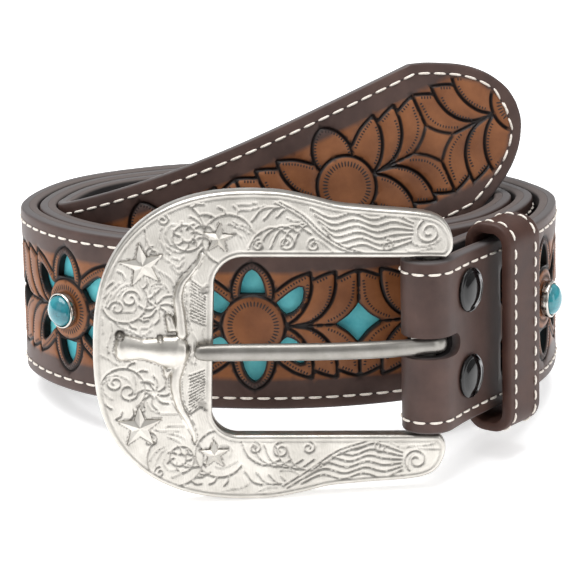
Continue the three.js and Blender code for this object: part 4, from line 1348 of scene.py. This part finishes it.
def makeKeeperStitches():
    points, normals = keeperRing(keeper["wall"] - 0.02)
    lengths = lengthsAlong(points)
    count = int(lengths[-1] / keeper["stitchPitch"])
    places, holes = [], []
    for i in range(2 * count):
        wanted = (i + 0.5) * lengths[-1] / (2 * count)
        at, normal = (np.array([np.interp(wanted, lengths, rows[:, k]) for k in (0, 1)])
                      for rows in (points, normals))
        normal /= np.linalg.norm(normal)
        outward = tiltTurn @ (keeperOutward * normal[0] + up * normal[1])
        beside = tiltTurn @ keeperTravel
        along = beside.cross(outward).normalized()
        basis = Matrix((along, outward.cross(along), outward)).transposed().to_4x4()
        for sign in (1, -1):
            spot = fromKeeper(at[0], at[1], sign * (keeper["width"] / 2 - keeper["stitchIn"]))
            matrix = Matrix.Translation(spot) @ basis @ Matrix.Scale(mm, 4)
            (places if i % 2 else holes).append(matrix)
    coords, faces = repeatShape(places, *stitchSolid(2.5, 0.3))
    finishObject("keeperStitching", coords, faces, waxedThread, "strap", [], sharp=80)
    # painted shade: small dark mounds at the stitch holes between the stitches
    coords, faces = repeatShape(holes, *dome(0.55, 0.38, 0.1, 0.08, 8))
    finishObject("keeperStitchHoleShade", coords, faces, toolInkAndHoleShade, "strap", [], sharp=80)


makeKeeper()
makeKeeperStitches()

# Buckle: an engraved plate in its own frame, x away from the free rim, z out of its front

buckle = {
    "swing": 4.3, "lift": 2.5, "front": 4.0, "back": -0.5, "edge": 0.75, "backEdge": 0.8,
    "bar": 1.7, "barHalf": 22.65, "grid": 0.34, "groove": 0.24, "deep": 0.15, "rimLine": 1.15,
    "window": (46.5, 19.65, 6.0), "rim": (37.9, 34.0, 0.816),
    "arm": [(-2.7, 19.65), (-3.9, 21.25), (-3.9, 24.25), (-2.3, 27.4), (0.5, 29.0), (14.0, 30.4),
            (20.8, 31.1), (26.5, 32.5), (32.6, 33.7)],
    "stars": [  # towards the rim, up, reach of a point, turn in radians
        (61.7, 18.0, 5.1, 1.75), (61.9, -17.6, 5.1, 1.62), (45.8, 23.9, 3.5, 1.5), (45.9, -23.7, 3.5, 1.6),
    ],
}
swing = math.radians(buckle["swing"])
buckleFront = Vector((math.sin(swing), -math.cos(swing), 0))
buckleAway = Vector((math.cos(swing), math.sin(swing), 0))
buckleAway.rotate(Quaternion(buckleFront, -math.radians(buckle["lift"])))
buckleHeight = buckleFront.cross(buckleAway)
buckleTurn = np.array(tiltTurn @ Matrix((buckleAway, buckleHeight, buckleFront)).transposed())
buckleOrigin = np.array(tiltTurn @ barCentre + coilOrigin)


def fromBuckle(coords):
    return (np.asarray(coords, dtype=float) @ buckleTurn.T + buckleOrigin) * mm


def buckleOutline(step=0.5):
    # closed line (x, y) round the plate, its left side the free rim
    reach, high, power = buckle["rim"]
    arm = np.array(buckle["arm"])
    armSide = smoothLine([(a, b) for a, b in arm] + [(reach, high)], step)
    angles = np.radians(np.linspace(90, 0, 400))
    rim = np.stack([reach + high * np.cos(angles) ** power, high * np.sin(angles) ** power], axis=1)
    upper = np.concatenate([armSide, evenLine(rim, step)[1:]])
    wa, wb, wr = buckle["window"]
    corner = arcLine((wa - wr, wb - wr), wr, 0, 90, step)
    inner = np.concatenate([evenLine([(wa, 0), corner[0]], step), corner[1:],
                            evenLine([corner[-1], upper[0]], step)[1:-1]])
    topHalf = np.concatenate([inner, upper])
    whole = np.concatenate([topHalf, topHalf[::-1][1:-1] * [1, -1]])
    return whole * [-1, 1]


plateOutline = buckleOutline()
closedOutline = np.concatenate([plateOutline, plateOutline[:1]])


def spiral(centre, radius, start, turns, shrink=0.25, step=0.5):
    # winds inwards from its start angle
    count = int(abs(turns) * math.tau * radius / step)
    shares = np.linspace(0, 1, max(count, 8))
    angles = math.radians(start) + shares * turns * math.tau
    reach = radius * (1 - shares * (1 - shrink))
    return np.stack([centre[0] + reach * np.cos(angles), centre[1] + reach * np.sin(angles)], axis=1)


def lobes(centre, radius, start, end, count, length, bend):
    # short curved cuts that leave a scroll like the lobes of a leaf
    out = []
    for angle in np.radians(np.linspace(start, end, count)):
        base = np.array((math.cos(angle), math.sin(angle)))
        side = np.array((-base[1], base[0])) * bend
        begin = np.array(centre) + base * radius
        out.append(smoothLine([tuple(begin), tuple(begin + base * length * 0.5 + side * length * 0.2),
                               tuple(begin + base * length * 0.75 + side * length * 0.65)], 0.4))
    return out


def keptRuns(line, wanted):
    # the unbroken stretches of a line whose points are wanted
    runs, current = [], []
    for point, ok in zip(line, wanted):
        if ok:
            current.append(point)
        elif current:
            runs.append(np.array(current))
            current = []
    if current:
        runs.append(np.array(current))
    return [run for run in runs if len(run) > 3]


def engravedLines():
    # in (a, b): a is the distance from the bar towards the free rim
    lines = [
        arcLine((55.1, 25.4), 6.2, -40, 215, 0.45), spiral((52.6, 24.4), 4.2, 100, 1.6, 0.25, 0.45),
        arcLine((43.7, 23.6), 5.4, -150, 150, 0.45),
        arcLine((65.4, 10.2), 4.8, -215, 60, 0.45), spiral((64.2, 10.6), 2.1, 180, -1.2, 0.3, 0.4),
        spiral((67.0, 8.6), 1.7, 0, 1.1, 0.3, 0.4),
        arcLine((65.6, -9.4), 4.8, -60, 215, 0.45), spiral((64.4, -9.8), 2.1, 180, 1.2, 0.3, 0.4),
        spiral((67.2, -7.8), 1.7, 0, -1.1, 0.3, 0.4),
        arcLine((54.2, -24.8), 6.0, -215, 40, 0.45), spiral((53.2, -24.6), 3.4, -100, -1.5, 0.25, 0.45),
        arcLine((44.6, -23.6), 5.3, -150, 150, 0.45),
        smoothLine([(34.0, 31.6), (28.7, 28.6), (24.6, 24.8), (20.3, 21.9), (15.7, 20.3)], 0.45),
        smoothLine([(33.0, 31.8), (27.9, 28.9), (23.8, 25.1), (19.6, 22.3), (14.6, 20.7)], 0.45),
        smoothLine([(31.0, -31.0), (24.6, -26.8), (19.5, -23.1), (13.2, -20.9)], 0.45),
        smoothLine([(30.0, -31.4), (23.9, -27.4), (18.7, -23.7), (12.2, -21.4)], 0.45),
        spiral((1.2, 25.4), 2.7, 60, -1.5, 0.2, 0.4), spiral((2.2, -25.2), 2.7, -60, 1.5, 0.2, 0.4),
    ]
    waves = []
    for i in range(6):
        rise = 28.9 - i * 1.35
        waves.append([(26.5 - i * 0.9, rise + 1.5), (22.0 - i * 0.3, rise - 0.5),
                      (17.6 - i * 0.5, rise + 0.5), (13.2 - i * 0.4, rise - 0.8),
                      (8.8, rise + 0.2 - i * 0.1), (4.8, rise - 1.5 + i * 0.55)])
    for i in range(5):
        start = 39.5 - i * 2.4
        waves.append([(start, 21.4 + i * 0.2), (start - 1.6, 24.4 + i * 0.4), (start - 5.0, 26.2 + i * 0.3),
                      (start - 8.4, 25.0)])
    for i in range(4):
        start = 38.8 - i * 2.6
        waves.append([(start, 27.6 + i * 0.4), (start - 2.2, 30.2 + i * 0.1),
                      (start - 5.8, 30.6 - i * 0.1)])
    waves = [smoothLine(line, 0.45) for line in waves]
    for parting, side in ((lines[12], 1), (lines[14], -1)):
        order = np.argsort(parting[:, 0])
        for i, wave in enumerate(waves):
            moved = wave * [1, side] + [0.5 if side < 0 else 0, 0]
            level = np.interp(moved[:, 0], parting[order, 0], parting[order, 1]) * side
            above = moved[:, 1] * side > level
            wanted = above if i < 6 else ~above
            wanted &= np.abs(moved[:, 1] * side - level) > 0.45
            lines += keptRuns(moved, wanted)
    leaves = [
        ((55.1, 25.4), 6.2, 60, 190, 7, 2.6, 1), ((43.7, 23.6), 5.4, -20, 110, 6, 2.4, -1),
        ((65.4, 10.2), 4.8, 90, 260, 7, 2.2, -1), ((65.6, -9.4), 4.8, 100, 270, 7, 2.2, 1),
        ((54.2, -24.8), 6.0, 170, 300, 7, 2.6, -1), ((44.6, -23.6), 5.3, -110, 20, 6, 2.4, 1),
        ((52.6, 24.4), 1.4, 0, 300, 7, 1.9, 1), ((53.2, -24.6), 1.3, 0, 300, 7, 1.7, -1),
        ((58.5, 9.0), 0.8, 20, 330, 8, 3.2, 1), ((58.8, -10.0), 0.8, 30, 340, 8, 3.2, -1),
    ]
    for leaf in leaves:
        lines += lobes(*leaf)
    for side in (1, -1):
        for i in range(13):
            lines.append(evenLine([(48.3, side * (5.0 + i * 0.62)), (51.4, side * (6.2 + i * 0.72))], 0.5))
        for i in range(6):
            start = 200 if side > 0 else 80
            lines.append(arcLine((49.0, side * (14.2 + i * 0.2)), 1.0 + i * 0.45, start, start + 80, 0.45))
    curls = [(31.5, 22.9, 1.9, 1.4), (25.6, 22.4, 1.5, -1.3), (37.2, 22.4, 1.4, -1.3),
             (10.0, 22.3, 1.4, 1.3), (59.6, 20.5, 1.6, -1.3), (57.5, 27.8, 1.3, 1.2)]
    for side in (1, -1):
        for a, b, radius, turns in curls:
            lines.append(spiral((a, b * side), radius, 90, turns * side, 0.2, 0.4))
    return [np.asarray(line) * [-1, 1] for line in lines]


steer = {
    "muzzle": (67.4, 0.1), "poll": (51.9, -1.2), "length": 15.9,
    "along": [0, 0.7, 1.8, 3.5, 6, 8.5, 10.5, 13, 15, 15.9],
    "half": [1.3, 2.6, 3.0, 2.7, 2.25, 2.7, 3.4, 3.8, 2.9, 1.3],
    "rise": [0.9, 1.5, 1.75, 1.5, 1.35, 1.6, 1.95, 2.15, 1.8, 0.9],
    "upperHorn": [(53.2, 3.0), (53.7, 7.8), (54.1, 10.9), (53.4, 14.0), (51.5, 16.5), (49.8, 18.9),
                  (49.2, 20.4)],
    "lowerHorn": [(53.6, -3.6), (54.4, -7.2), (54.1, -10.7), (53.2, -13.4), (51.7, -16), (50.5, -18.7),
                  (50, -20.7)],
    "hornRadii": [1.3, 1.2, 1.1, 0.95, 0.75, 0.55, 0.3],
    "upperEar": [(56.9, 6.9), (56.4, 7.8), (55.0, 6.8), (53.8, 3.4), (56.3, 3.2)],
    "lowerEar": [(57.1, -4.3), (55.0, -3.9), (54.6, -4.9), (56.2, -7.1), (57.0, -6.2)],
    "face": [(66.3, 2.7, 0.95, 2.3), (57.8, 2.0, 0.75, 2.3)],  # nostril and eye: place, radius, rise
}


def tubeRise(points, line, radii):
    # how high a round rod lying on the face stands at each point
    line = np.asarray(line, dtype=float) * [-1, 1]
    fine = smoothLine([tuple(p) for p in line], 0.35)
    radius = np.interp(np.linspace(0, 1, len(fine)), np.linspace(0, 1, len(radii)), radii)
    a, b = fine[:-1], fine[1:]
    near = np.where((points >= fine.min(0) - 2).all(1) & (points <= fine.max(0) + 2).all(1))[0]
    out = np.zeros(len(points))
    ab = b - a
    ap = points[near][:, None, :] - a[None]
    share = np.clip((ap * ab).sum(2) / (ab * ab).sum(1), 0, 1)
    gap = np.linalg.norm(ap - share[..., None] * ab, axis=2)
    best = gap.argmin(1)
    local = radius[best]
    out[near] = np.sqrt(np.maximum(local ** 2 - gap.min(1) ** 2, 0)) * 1.1
    return out


starNotch = 0.4                # a star's inner corners, as a share of its reach


def starRise(points, star):
    a, b, radius, turn = star
    offset = points - np.array((-a, b))
    reach = np.linalg.norm(offset, axis=1)
    angle = np.arctan2(offset[:, 1], offset[:, 0]) - turn
    sector = np.abs((angle + math.pi / 5) % (math.tau / 5) - math.pi / 5)
    notch = starNotch * radius
    tip = np.array((radius, 0))
    low = np.array((notch * math.cos(math.pi / 5), notch * math.sin(math.pi / 5)))
    edge = low - tip
    outline = tip[0] * edge[1] / (np.cos(sector) * edge[1] - np.sin(sector) * edge[0])
    share = 1 - reach / outline
    return np.where(share > 0, np.minimum(share * 5, 0.38) + 0.9 * share, 0)


def starLines(star):
    a, b, radius, turn = star
    corners = []
    for k in range(10):
        reach = radius * (starNotch if k % 2 else 1)
        angle = turn + k * math.pi / 5
        corners.append((-a + reach * math.cos(angle), b + reach * math.sin(angle)))
    centre = np.array((-a, b))
    shrunk = [tuple(centre + (np.array(corner) - centre) * 0.92) for corner in corners]
    lines = [evenLine(pair, 0.45) for loop in (corners, shrunk) for pair in zip(loop, loop[1:] + loop[:1])]
    lines += [evenLine([(-a, b), corner], 0.45) for corner in corners]
    return lines


def headAxis():
    muzzle, poll = (np.array(steer[key]) * [-1, 1] for key in ("muzzle", "poll"))
    axis = (poll - muzzle) / np.linalg.norm(poll - muzzle)
    return muzzle, axis, np.array((-axis[1], axis[0]))


def headRise(points):
    muzzle, axis, side = headAxis()
    along = (points - muzzle) @ axis
    offset = np.abs((points - muzzle) @ side)
    width = np.interp(along, steer["along"], steer["half"])
    ok = (along > 0) & (along < steer["length"]) & (offset < width)
    end = np.clip(np.minimum(along, steer["length"] - along) / 0.8, 0, 1)
    rise = np.interp(along, steer["along"], steer["rise"])
    height = rise * np.maximum(1 - (offset / width) ** 2, 0) ** 0.5 * np.sqrt(end)
    return np.where(ok, height, 0)


def bumps(points, spots):
    out = np.zeros(len(points))
    for a, b, radius, rise in spots:
        gap = np.linalg.norm(points - np.array((-a, b)), axis=1)
        out = np.maximum(out, rise * np.sqrt(np.maximum(1 - (gap / radius) ** 2, 0)))
    return out


def ornamentLines():
    lines = [line for star in buckle["stars"] for line in starLines(star)]
    for name in ("upperHorn", "lowerHorn"):
        fine = smoothLine([tuple(p) for p in np.array(steer[name]) * [-1, 1]], 0.4)
        radius = np.interp(np.linspace(0, 1, len(fine)), np.linspace(0, 1, 7), steer["hornRadii"])
        aside = (besideLine(fine, 1.0) - fine) * radius[:, None]
        lines += [fine + aside * share for share in (0, 1, -1, 0.7, -0.7)]
    muzzle, axis, side = headAxis()
    along = np.linspace(0.02, steer["length"] - 0.02, 44)
    width = np.interp(along, steer["along"], steer["half"])
    for share in (-1, -0.93, -0.7, 0, 0.7, 0.93, 1):
        lines.append(muzzle + along[:, None] * axis + (width * share)[:, None] * side)
    for name in ("upperEar", "lowerEar"):
        shape = np.array(steer[name]) * [-1, 1]
        lines.append(evenLine(np.concatenate([shape, shape[:1]]), 0.4))
    around = np.radians(np.arange(0, 361, 20))
    circle = np.column_stack([np.cos(around), np.sin(around)])
    for a, b, radius, _ in steer["face"]:
        lines += [circle * radius * share + (-a, b) for share in (0.4, 0.8, 1.0)]
    return lines


flowCentres = [  # x, y, radius and way round of the scrolls that the fine cuts follow
    (-55.1, 25.4, 6.2, 1), (-43.7, 23.6, 5.4, -1), (-65.4, 10.2, 4.8, 1), (-65.6, -9.4, 4.8, -1),
    (-54.2, -24.8, 6.0, -1), (-44.6, -23.6, 5.3, 1), (-1.2, 25.4, 2.7, 1), (-2.2, -25.2, 2.7, -1),
    (-58.0, 12.0, 3.5, -1), (-58.0, -12.0, 3.5, 1), (-50.0, 30.0, 2.5, 1), (-50.0, -30.0, 2.5, -1),
]


def flowDirection(point):
    # which way the fine cuts run: round the scrolls, and in waves along the arms
    a = -point[0]
    total = np.zeros(2)
    for x, y, radius, turn in flowCentres:
        offset = point - np.array((x, y))
        reach = np.linalg.norm(offset) + 1e-6
        weight = math.exp(-((reach / (radius * 1.3)) ** 2)) * 3
        total += weight * turn * np.array((-offset[1], offset[0])) / reach
    if a < 42:
        angle = 0.75 * math.sin(a * 0.42 + point[1] * 0.35) * (1 if point[1] > 0 else -1)
        total += np.array((math.cos(angle), math.sin(angle)))
    else:
        offset = point - np.array((-37.9, 0))
        reach = np.linalg.norm(offset)
        angle = 0.9 * math.sin(reach * 0.8 + math.atan2(offset[1], offset[0]) * 9)
        beside = np.array((-offset[1], offset[0]))
        total += (beside * math.cos(angle) + offset * math.sin(angle)) / reach
    return total / (np.linalg.norm(total) + 1e-9)


def fineCuts(taken):
    # short flowing cuts that fill the field between the scrolls
    chance = np.random.default_rng(11)
    seeds = np.array([(x, y) for x in np.arange(-71, 3, 1.0) for y in np.arange(-33.5, 33.6, 1.0)])
    seeds = seeds + chance.uniform(-0.4, 0.4, seeds.shape)
    seeds = seeds[inside(seeds, plateOutline)]
    seeds = seeds[nearestBlocks(seeds, closedOutline) > buckle["rimLine"] + 0.3]
    seeds = seeds[nearest(seeds, taken) > 0.5]
    chance.shuffle(seeds)
    cuts, cloud = [], np.zeros((0, 2))
    for seed in seeds:
        if len(cloud) and np.min(((cloud - seed) ** 2).sum(1)) < 0.72 ** 2:
            continue
        cut = [seed]
        for way in (1, -1):
            point = seed
            for _ in range(int(chance.uniform(4, 10))):
                point = point + flowDirection(point) * 0.42 * way
                if len(cloud) and np.min(((cloud - point) ** 2).sum(1)) < 0.52 ** 2:
                    break
                cut = cut + [point] if way > 0 else [point] + cut
        cut = np.array(cut)
        if len(cut) < 4 or not inside(cut, plateOutline).all():
            continue
        if nearestBlocks(cut, closedOutline).min() < buckle["rimLine"] + 0.1:
            continue
        if nearest(cut, taken).min() < 0.3:
            continue
        cuts.append(cut)
        cloud = np.concatenate([cloud, cut])
    return cuts


def ornamentRise(points):
    ornaments = np.zeros(len(points))
    for star in buckle["stars"]:
        ornaments = np.maximum(ornaments, starRise(points, star))
    for name in ("upperHorn", "lowerHorn"):
        ornaments = np.maximum(ornaments, tubeRise(points, steer[name], steer["hornRadii"]))
    ornaments = np.maximum(ornaments, headRise(points))
    for name in ("upperEar", "lowerEar"):
        shape = np.array(steer[name]) * [-1, 1]
        depth = nearest(points, [np.concatenate([shape, shape[:1]])])
        raised = np.minimum(depth * 2, 0.4) + np.minimum(depth, 0.8) * 0.7
        ornaments = np.maximum(ornaments, np.where(inside(points, shape), raised, 0))
    return np.maximum(ornaments, bumps(points, steer["face"]))


def buckleHeights(points, lines, fine):
    inset = nearestBlocks(points, closedOutline)
    rounded = np.clip(1 - inset / buckle["edge"], 0, 1)
    height = buckle["front"] - buckle["edge"] * (1 - np.sqrt(1 - rounded ** 2))
    field = np.clip((inset - buckle["rimLine"]) / 0.25, 0, 1)
    rimGroove = np.clip(1 - np.abs(inset - buckle["rimLine"]) / 0.3, 0, 1)
    gap = nearest(points, lines)
    groove = np.clip(1 - gap / buckle["groove"], 0, 1) * field
    groove = np.maximum(groove, 0.5 * np.clip(1 - nearest(points, fine) / 0.2, 0, 1) * field)
    ornaments = ornamentRise(points)
    # painted shade: a dark ring just outside the raised stars, horns, ears, head and bumps, where they
    # would shade the field
    around = np.zeros(len(points))
    for angle in np.linspace(0, math.tau, 6, endpoint=False):
        shift = np.array((math.cos(angle), math.sin(angle))) * 0.32
        around = np.maximum(around, ornamentRise(points + shift) > 0)
    plain = ornaments <= 0
    height += np.where(plain, -buckle["deep"] * groove - 0.14 * rimGroove - 0.05 * field, ornaments - 0.05)
    nostril = np.linalg.norm(points - np.array(steer["face"][0][:2]) * [-1, 1], axis=1)
    # the dark wash: oxide in the grooves and the rim line, painted shade round the raised ornaments, and
    # the nostril painted darker
    engravingWashAndShade = np.maximum.reduce([groove * 0.6, rimGroove * 0.4, around * 0.7])
    dark = np.clip((1.15 - nostril) * 4, 0, 0.75) + np.where(plain, engravingWashAndShade, 0)
    return height, np.column_stack([np.where(plain, field, 0.15), dark, np.zeros(len(points))])


def nearestBlocks(points, line):
    out = np.empty(len(points))
    for i in range(0, len(points), 4000):
        out[i:i + 4000] = nearestWide(points[i:i + 4000], line)
    return out


def makeBuckle():
    lines = [line[inside(line, plateOutline)] for line in engravedLines()]
    lines = [line for line in lines if len(line) > 1]
    raised = ornamentLines()
    fine = fineCuts(lines + raised)
    fine = [cut for cut in fine if (ornamentRise(cut) <= 0).all()]
    spacing = buckle["grid"]
    xs = np.arange(-72.5, 5, spacing)
    ys = np.arange(-34.5, 34.5, spacing * 0.87)
    grid = np.array([(x + (spacing / 2 if j % 2 else 0), y) for j, y in enumerate(ys) for x in xs])
    grid = grid[inside(grid, plateOutline)]
    inset = nearestBlocks(grid, closedOutline)
    grid = grid[inset > 0.4]
    drawn = lines + fine
    far = nearest(grid, drawn + raised) > 0.13
    rings = []
    inward = 1 if inside(besideLine(closedOutline, 0.12)[:50], plateOutline).mean() > 0.5 else -1
    for depth in (0.12, 0.32):
        ring = besideLine(closedOutline, inward * depth)
        rings.append(ring[inside(ring, plateOutline) & (nearestBlocks(ring, closedOutline) > depth * 0.8)])
    clear = [line[nearestBlocks(line, closedOutline) > 0.5] for line in drawn]
    scattered = np.concatenate([grid[far]] + rings + clear)

    def keep(points):
        return inside(points, plateOutline)

    verts, faces = fillFlat([closedOutline] + raised, scattered, keep)
    height, paint = buckleHeights(verts, lines, fine)
    sheet = Sheet(-buckle["back"])
    sheet.addTop(verts, faces, height, paint)
    coarse = grid[::23]
    backRing = [besideLine(closedOutline, s * d) for s in (1, -1) for d in (0.3, 0.8)]
    backPoints = np.concatenate([coarse] + backRing)
    backPoints = backPoints[inside(backPoints, plateOutline)]
    backPoints = backPoints[nearestBlocks(backPoints, closedOutline) > 0.25]
    low = fillFlat([closedOutline], backPoints, keep)
    backInset = nearestBlocks(low[0], closedOutline)
    share = np.clip(1 - backInset / buckle["backEdge"], 0, 1)
    sheet.addBottom(low[0], low[1], buckle["backEdge"] * (1 - np.sqrt(1 - share ** 2)))
    coords, allFaces, allPaint = sheet.build((0.15, 0, 0))
    bar, barFaces = spun([(0, -buckle["barHalf"]), (buckle["bar"], -buckle["barHalf"]),
                          (buckle["bar"], buckle["barHalf"]), (0, buckle["barHalf"])], 32)
    bar = np.array(bar)[:, [1, 2, 0]]
    allFaces += [[i + len(coords) for i in face] for face in barFaces]
    coords = np.concatenate([coords, bar])
    allPaint = np.concatenate([allPaint, np.zeros((len(bar), 3))])
    finishObject("buckle", fromBuckle(coords), allFaces, engravedSilver, "buckle",
                 ["buckle_frame"], allPaint, sharp=38)


makeBuckle()

# Prong: a bowed rod with a hook round the bar

prong = {
    "droop": 0.8, "sides": 20,
    "rod": [  # x, z, half thickness, half width
        (-50.6, 5.55, 0.12, 0.2), (-50.5, 5.56, 0.62, 0.85), (-50.1, 5.6, 0.98, 1.3),
        (-49.3, 5.66, 1.25, 1.62), (-47.8, 5.7, 1.38, 1.8), (-42.5, 5.7, 1.4, 1.85),
        (-33, 5.9, 1.4, 1.85), (-24, 6.0, 1.4, 1.85),
        (-16, 5.55, 1.4, 1.85), (-9, 4.72, 1.36, 1.85), (-4.2, 3.75, 1.2, 1.8),
    ],
    "hook": (3.0, 90, -153, 1.05, 1.75),  # radius, start and end in degrees, half thickness, half width
}


def makeProng():
    rows = [np.array(row) for row in prong["rod"]]
    knots = [Vector((row[0], row[1], 0)) for row in rows]
    sizes = np.array([row[2:] for row in rows])
    radius, start, end, thick, wide = prong["hook"]
    path, size = [], []
    count = 60
    for i in range(count + 1):
        share = i / count
        p = curvePoint(knots, share)
        path.append((p.x, p.y))
        place = share * (len(rows) - 1)
        size.append([np.interp(place, range(len(rows)), sizes[:, k]) for k in (0, 1)])
    for angle in np.linspace(start, end, 40):
        path.append((radius * math.cos(math.radians(angle)), radius * math.sin(math.radians(angle))))
        size.append((thick, wide))
    path, size = np.array(path), np.array(size)
    travel = np.gradient(path, axis=0)
    travel /= np.linalg.norm(travel, axis=1)[:, None]
    lift = np.stack([-travel[:, 1], travel[:, 0]], axis=1)
    sides = prong["sides"]
    coords = []
    for (x, z), (lx, lz), (t, w) in zip(path, lift, size):
        for angle in np.linspace(0, math.tau, sides, endpoint=False):
            c, s = math.cos(angle), math.sin(angle)
            c = math.copysign(abs(c) ** 0.85, c)
            s = math.copysign(abs(s) ** 0.85, s)
            coords.append((x + lx * t * s, w * c, z + lz * t * s))
    faces = tubeFaces(len(path), sides)
    droop = np.array(Matrix.Rotation(math.radians(prong["droop"]), 3, "Z"))
    coords = np.array(coords) @ droop.T
    finishObject("prong", fromBuckle(coords), faces, shadedProngSilver, "tongue", ["prong"],
                 np.zeros((len(coords), 3)), sharp=50)


makeProng()

# Light and floor

def makeFloor():
    bm = bmesh.new()
    bmesh.ops.create_grid(bm, x_segments=2, y_segments=2, size=studio["floorSize"])
    mesh = bpy.data.meshes.new("floor")
    bm.to_mesh(mesh)
    bm.free()
    mesh.materials.append(floorMaterial())
    floor = bpy.data.objects.new("floor", mesh)
    bpy.context.collection.objects.link(floor)


lights = {  # place in metres, width, height, watts
    "overhead": ((-0.1, 0.05, 0.75), 0.7, 0.7, 7.4),
    "leftPanel": ((-0.7, -0.45, 0.35), 0.5, 0.7, 0.7),
    "rightPanel": ((0.7, -0.5, 0.3), 0.35, 0.6, 1.2),
}


def areaLight(name, place, width, height, power):
    data = bpy.data.lights.new(name, "AREA")
    data.shape = "RECTANGLE"
    data.size = width
    data.size_y = height
    data.energy = power
    lamp = bpy.data.objects.new(name, data)
    bpy.context.collection.objects.link(lamp)
    aim = (Vector((0, 0, 0.03)) - Vector(place)).to_track_quat("-Z", "Y").to_matrix().to_4x4()
    lamp.matrix_world = Matrix.Translation(Vector(place)) @ aim


def lightStudio():
    world = bpy.data.worlds.new("studio")
    world.use_nodes = True
    background = world.node_tree.nodes["Background"]
    background.inputs["Strength"].default_value = 0.72
    tree = world.node_tree
    coords = tree.nodes.new("ShaderNodeTexCoord")
    split = tree.nodes.new("ShaderNodeSeparateXYZ")
    level = tree.nodes.new("ShaderNodeMapRange")
    level.inputs["From Min"].default_value = -1
    ramp = tree.nodes.new("ShaderNodeValToRGB")
    stops = [(0.0, 0.7), (0.5, 0.34), (0.62, 0.5), (0.8, 1.0)]  # brightness from below to above
    while len(ramp.color_ramp.elements) < len(stops):
        ramp.color_ramp.elements.new(0.5)
    for element, (place, value) in zip(ramp.color_ramp.elements, stops):
        element.position = place
        element.color = (value, value, value, 1)
    tree.links.new(coords.outputs["Generated"], split.inputs["Vector"])
    tree.links.new(split.outputs["Z"], level.inputs["Value"])
    tree.links.new(level.outputs["Result"], ramp.inputs["Fac"])
    tree.links.new(ramp.outputs["Color"], background.inputs["Color"])
    bpy.context.scene.world = world
    for name, settings in lights.items():
        areaLight(name, *settings)
    bpy.context.scene.view_settings.view_transform = "Standard"
    bpy.context.scene.view_settings.look = "None"


makeFloor()
lightStudio()
